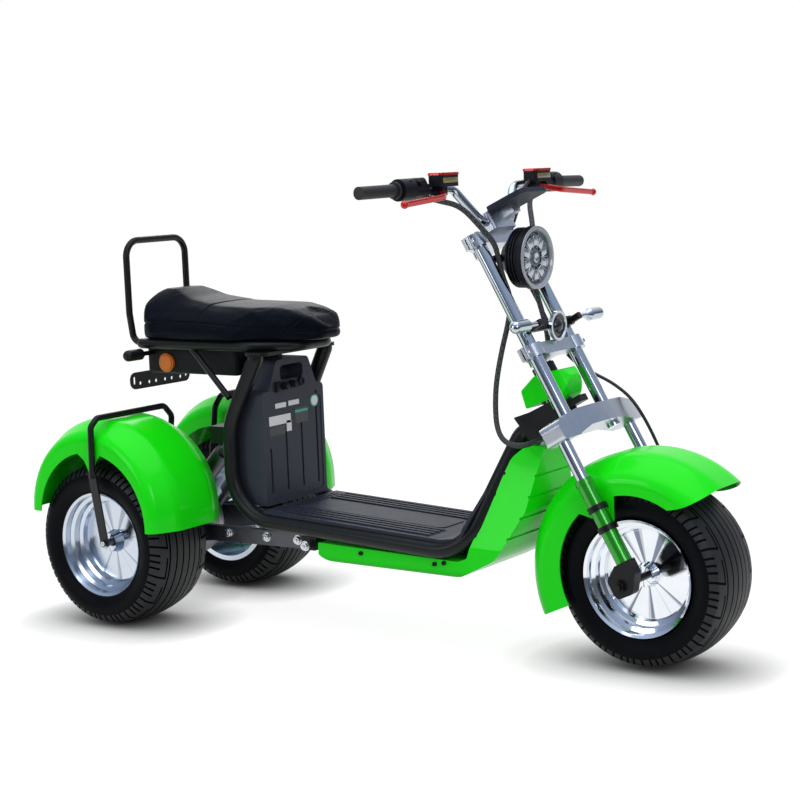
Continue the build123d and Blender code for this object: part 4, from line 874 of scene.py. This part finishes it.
# Lamps: a headlamp with a ring of cells in a dark bowl behind a plastic rim, and amber side reflectors.
# The cells are bright metallised plastic, and the reflectors are moulded in clear amber.
amber = finish(
    "amber_lens", (0.62, 0.12, 0.004), (0.8, 0.2, 0.008),
    rough=0.22, spread=0.03, scale=70, relief=0.1, coat=0.3, shine=0.3,
)
dress(amber, "side_reflectors")
lamp_centre = on_fork(96, 0, 772)
dish_metal = finish(
    "lamp_dish", (0.10, 0.11, 0.13), (0.16, 0.17, 0.2),
    rough=0.25, spread=0.05, scale=40, relief=0.05, metal=0.7,
)
cell_metal = finish(
    "lamp_cells", (0.42, 0.45, 0.5), (0.56, 0.6, 0.66),
    rough=0.2, spread=0.05, scale=60, relief=0.05, metal=0.8, coat=0.5,
)
rim_plastic = finish(
    "lamp_rim", (0.3, 0.33, 0.38), (0.38, 0.41, 0.46),
    rough=0.2, spread=0.05, scale=40, relief=0.05, coat=0.8,
)
dish = [(-6, 66.5), (-1, 66.5), (-1, 60), (-4.5, 57), (-4.5, 24), (-1.5, 21), (-1.5, 15), (-4, 12), (-4, 0.5)]
lamp_bowl = settle(turned(dish, 64, lamp_centre, (1, 0, 0)), "lamp_bowl", "steering", dish_metal, 25)
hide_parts("headlamp_lens")
cells = [turned([(-4, 13), (1.5, 12), (2.5, 10), (1, 7), (1, 0.5)], 28, lamp_centre, (1, 0, 0))]
cell_count = 10
for cell in range(cell_count):
    angle = 2 * math.pi * cell / cell_count
    turn = (math.cos(angle / 2), math.sin(angle / 2), 0, 0)
    out = Vector((0, -math.sin(angle), math.cos(angle)))
    cells.append(block((5, 20, 24), 2, lamp_centre + 0.040 * out - Vector((0.0015, 0, 0)), turn))
    angle += math.pi / cell_count
    turn = (math.cos(angle / 2), math.sin(angle / 2), 0, 0)
    out = Vector((0, -math.sin(angle), math.cos(angle)))
    cells.append(block((4, 2, 34), 0.6, lamp_centre + 0.040 * out - Vector((0.002, 0, 0)), turn))
settle(joined(cells), "lamp_cells", "steering", cell_metal)
rim_ring = [(4, 74), (6, 73.5), (7, 71), (6.5, 66), (3, 63), (-1, 62.5)]
bezel = turned(rim_ring, 64, lamp_centre, (1, 0, 0), capped=False)
settle(bezel, "lamp_bezel", "steering", rim_plastic, 30)

# Horn: a disc horn with a ringed black face in a chromed shell, below the headlamp.
# The face is pressed steel with a raised middle.
horn_black = finish(
    "horn_black", (0.004, 0.005, 0.008), (0.012, 0.014, 0.022),
    rough=0.3, spread=0.05, scale=40, relief=0.05, coat=0.4,
)
horn_rings = [
    (13.5, 28.5), (16.5, 28), (15.2, 24), (16.6, 20.5), (15.2, 17), (20.6, 12.8), (24.3, 4), (24.5, 0.5),
]
horn_face = turned(horn_rings, 40, on_fork(53.5, 0, 614), (1, 0, 0))
settle(horn_face, "horn_face", "steering", horn_black, 30)

# Bring every placement up to date.
bpy.context.view_layer.update()
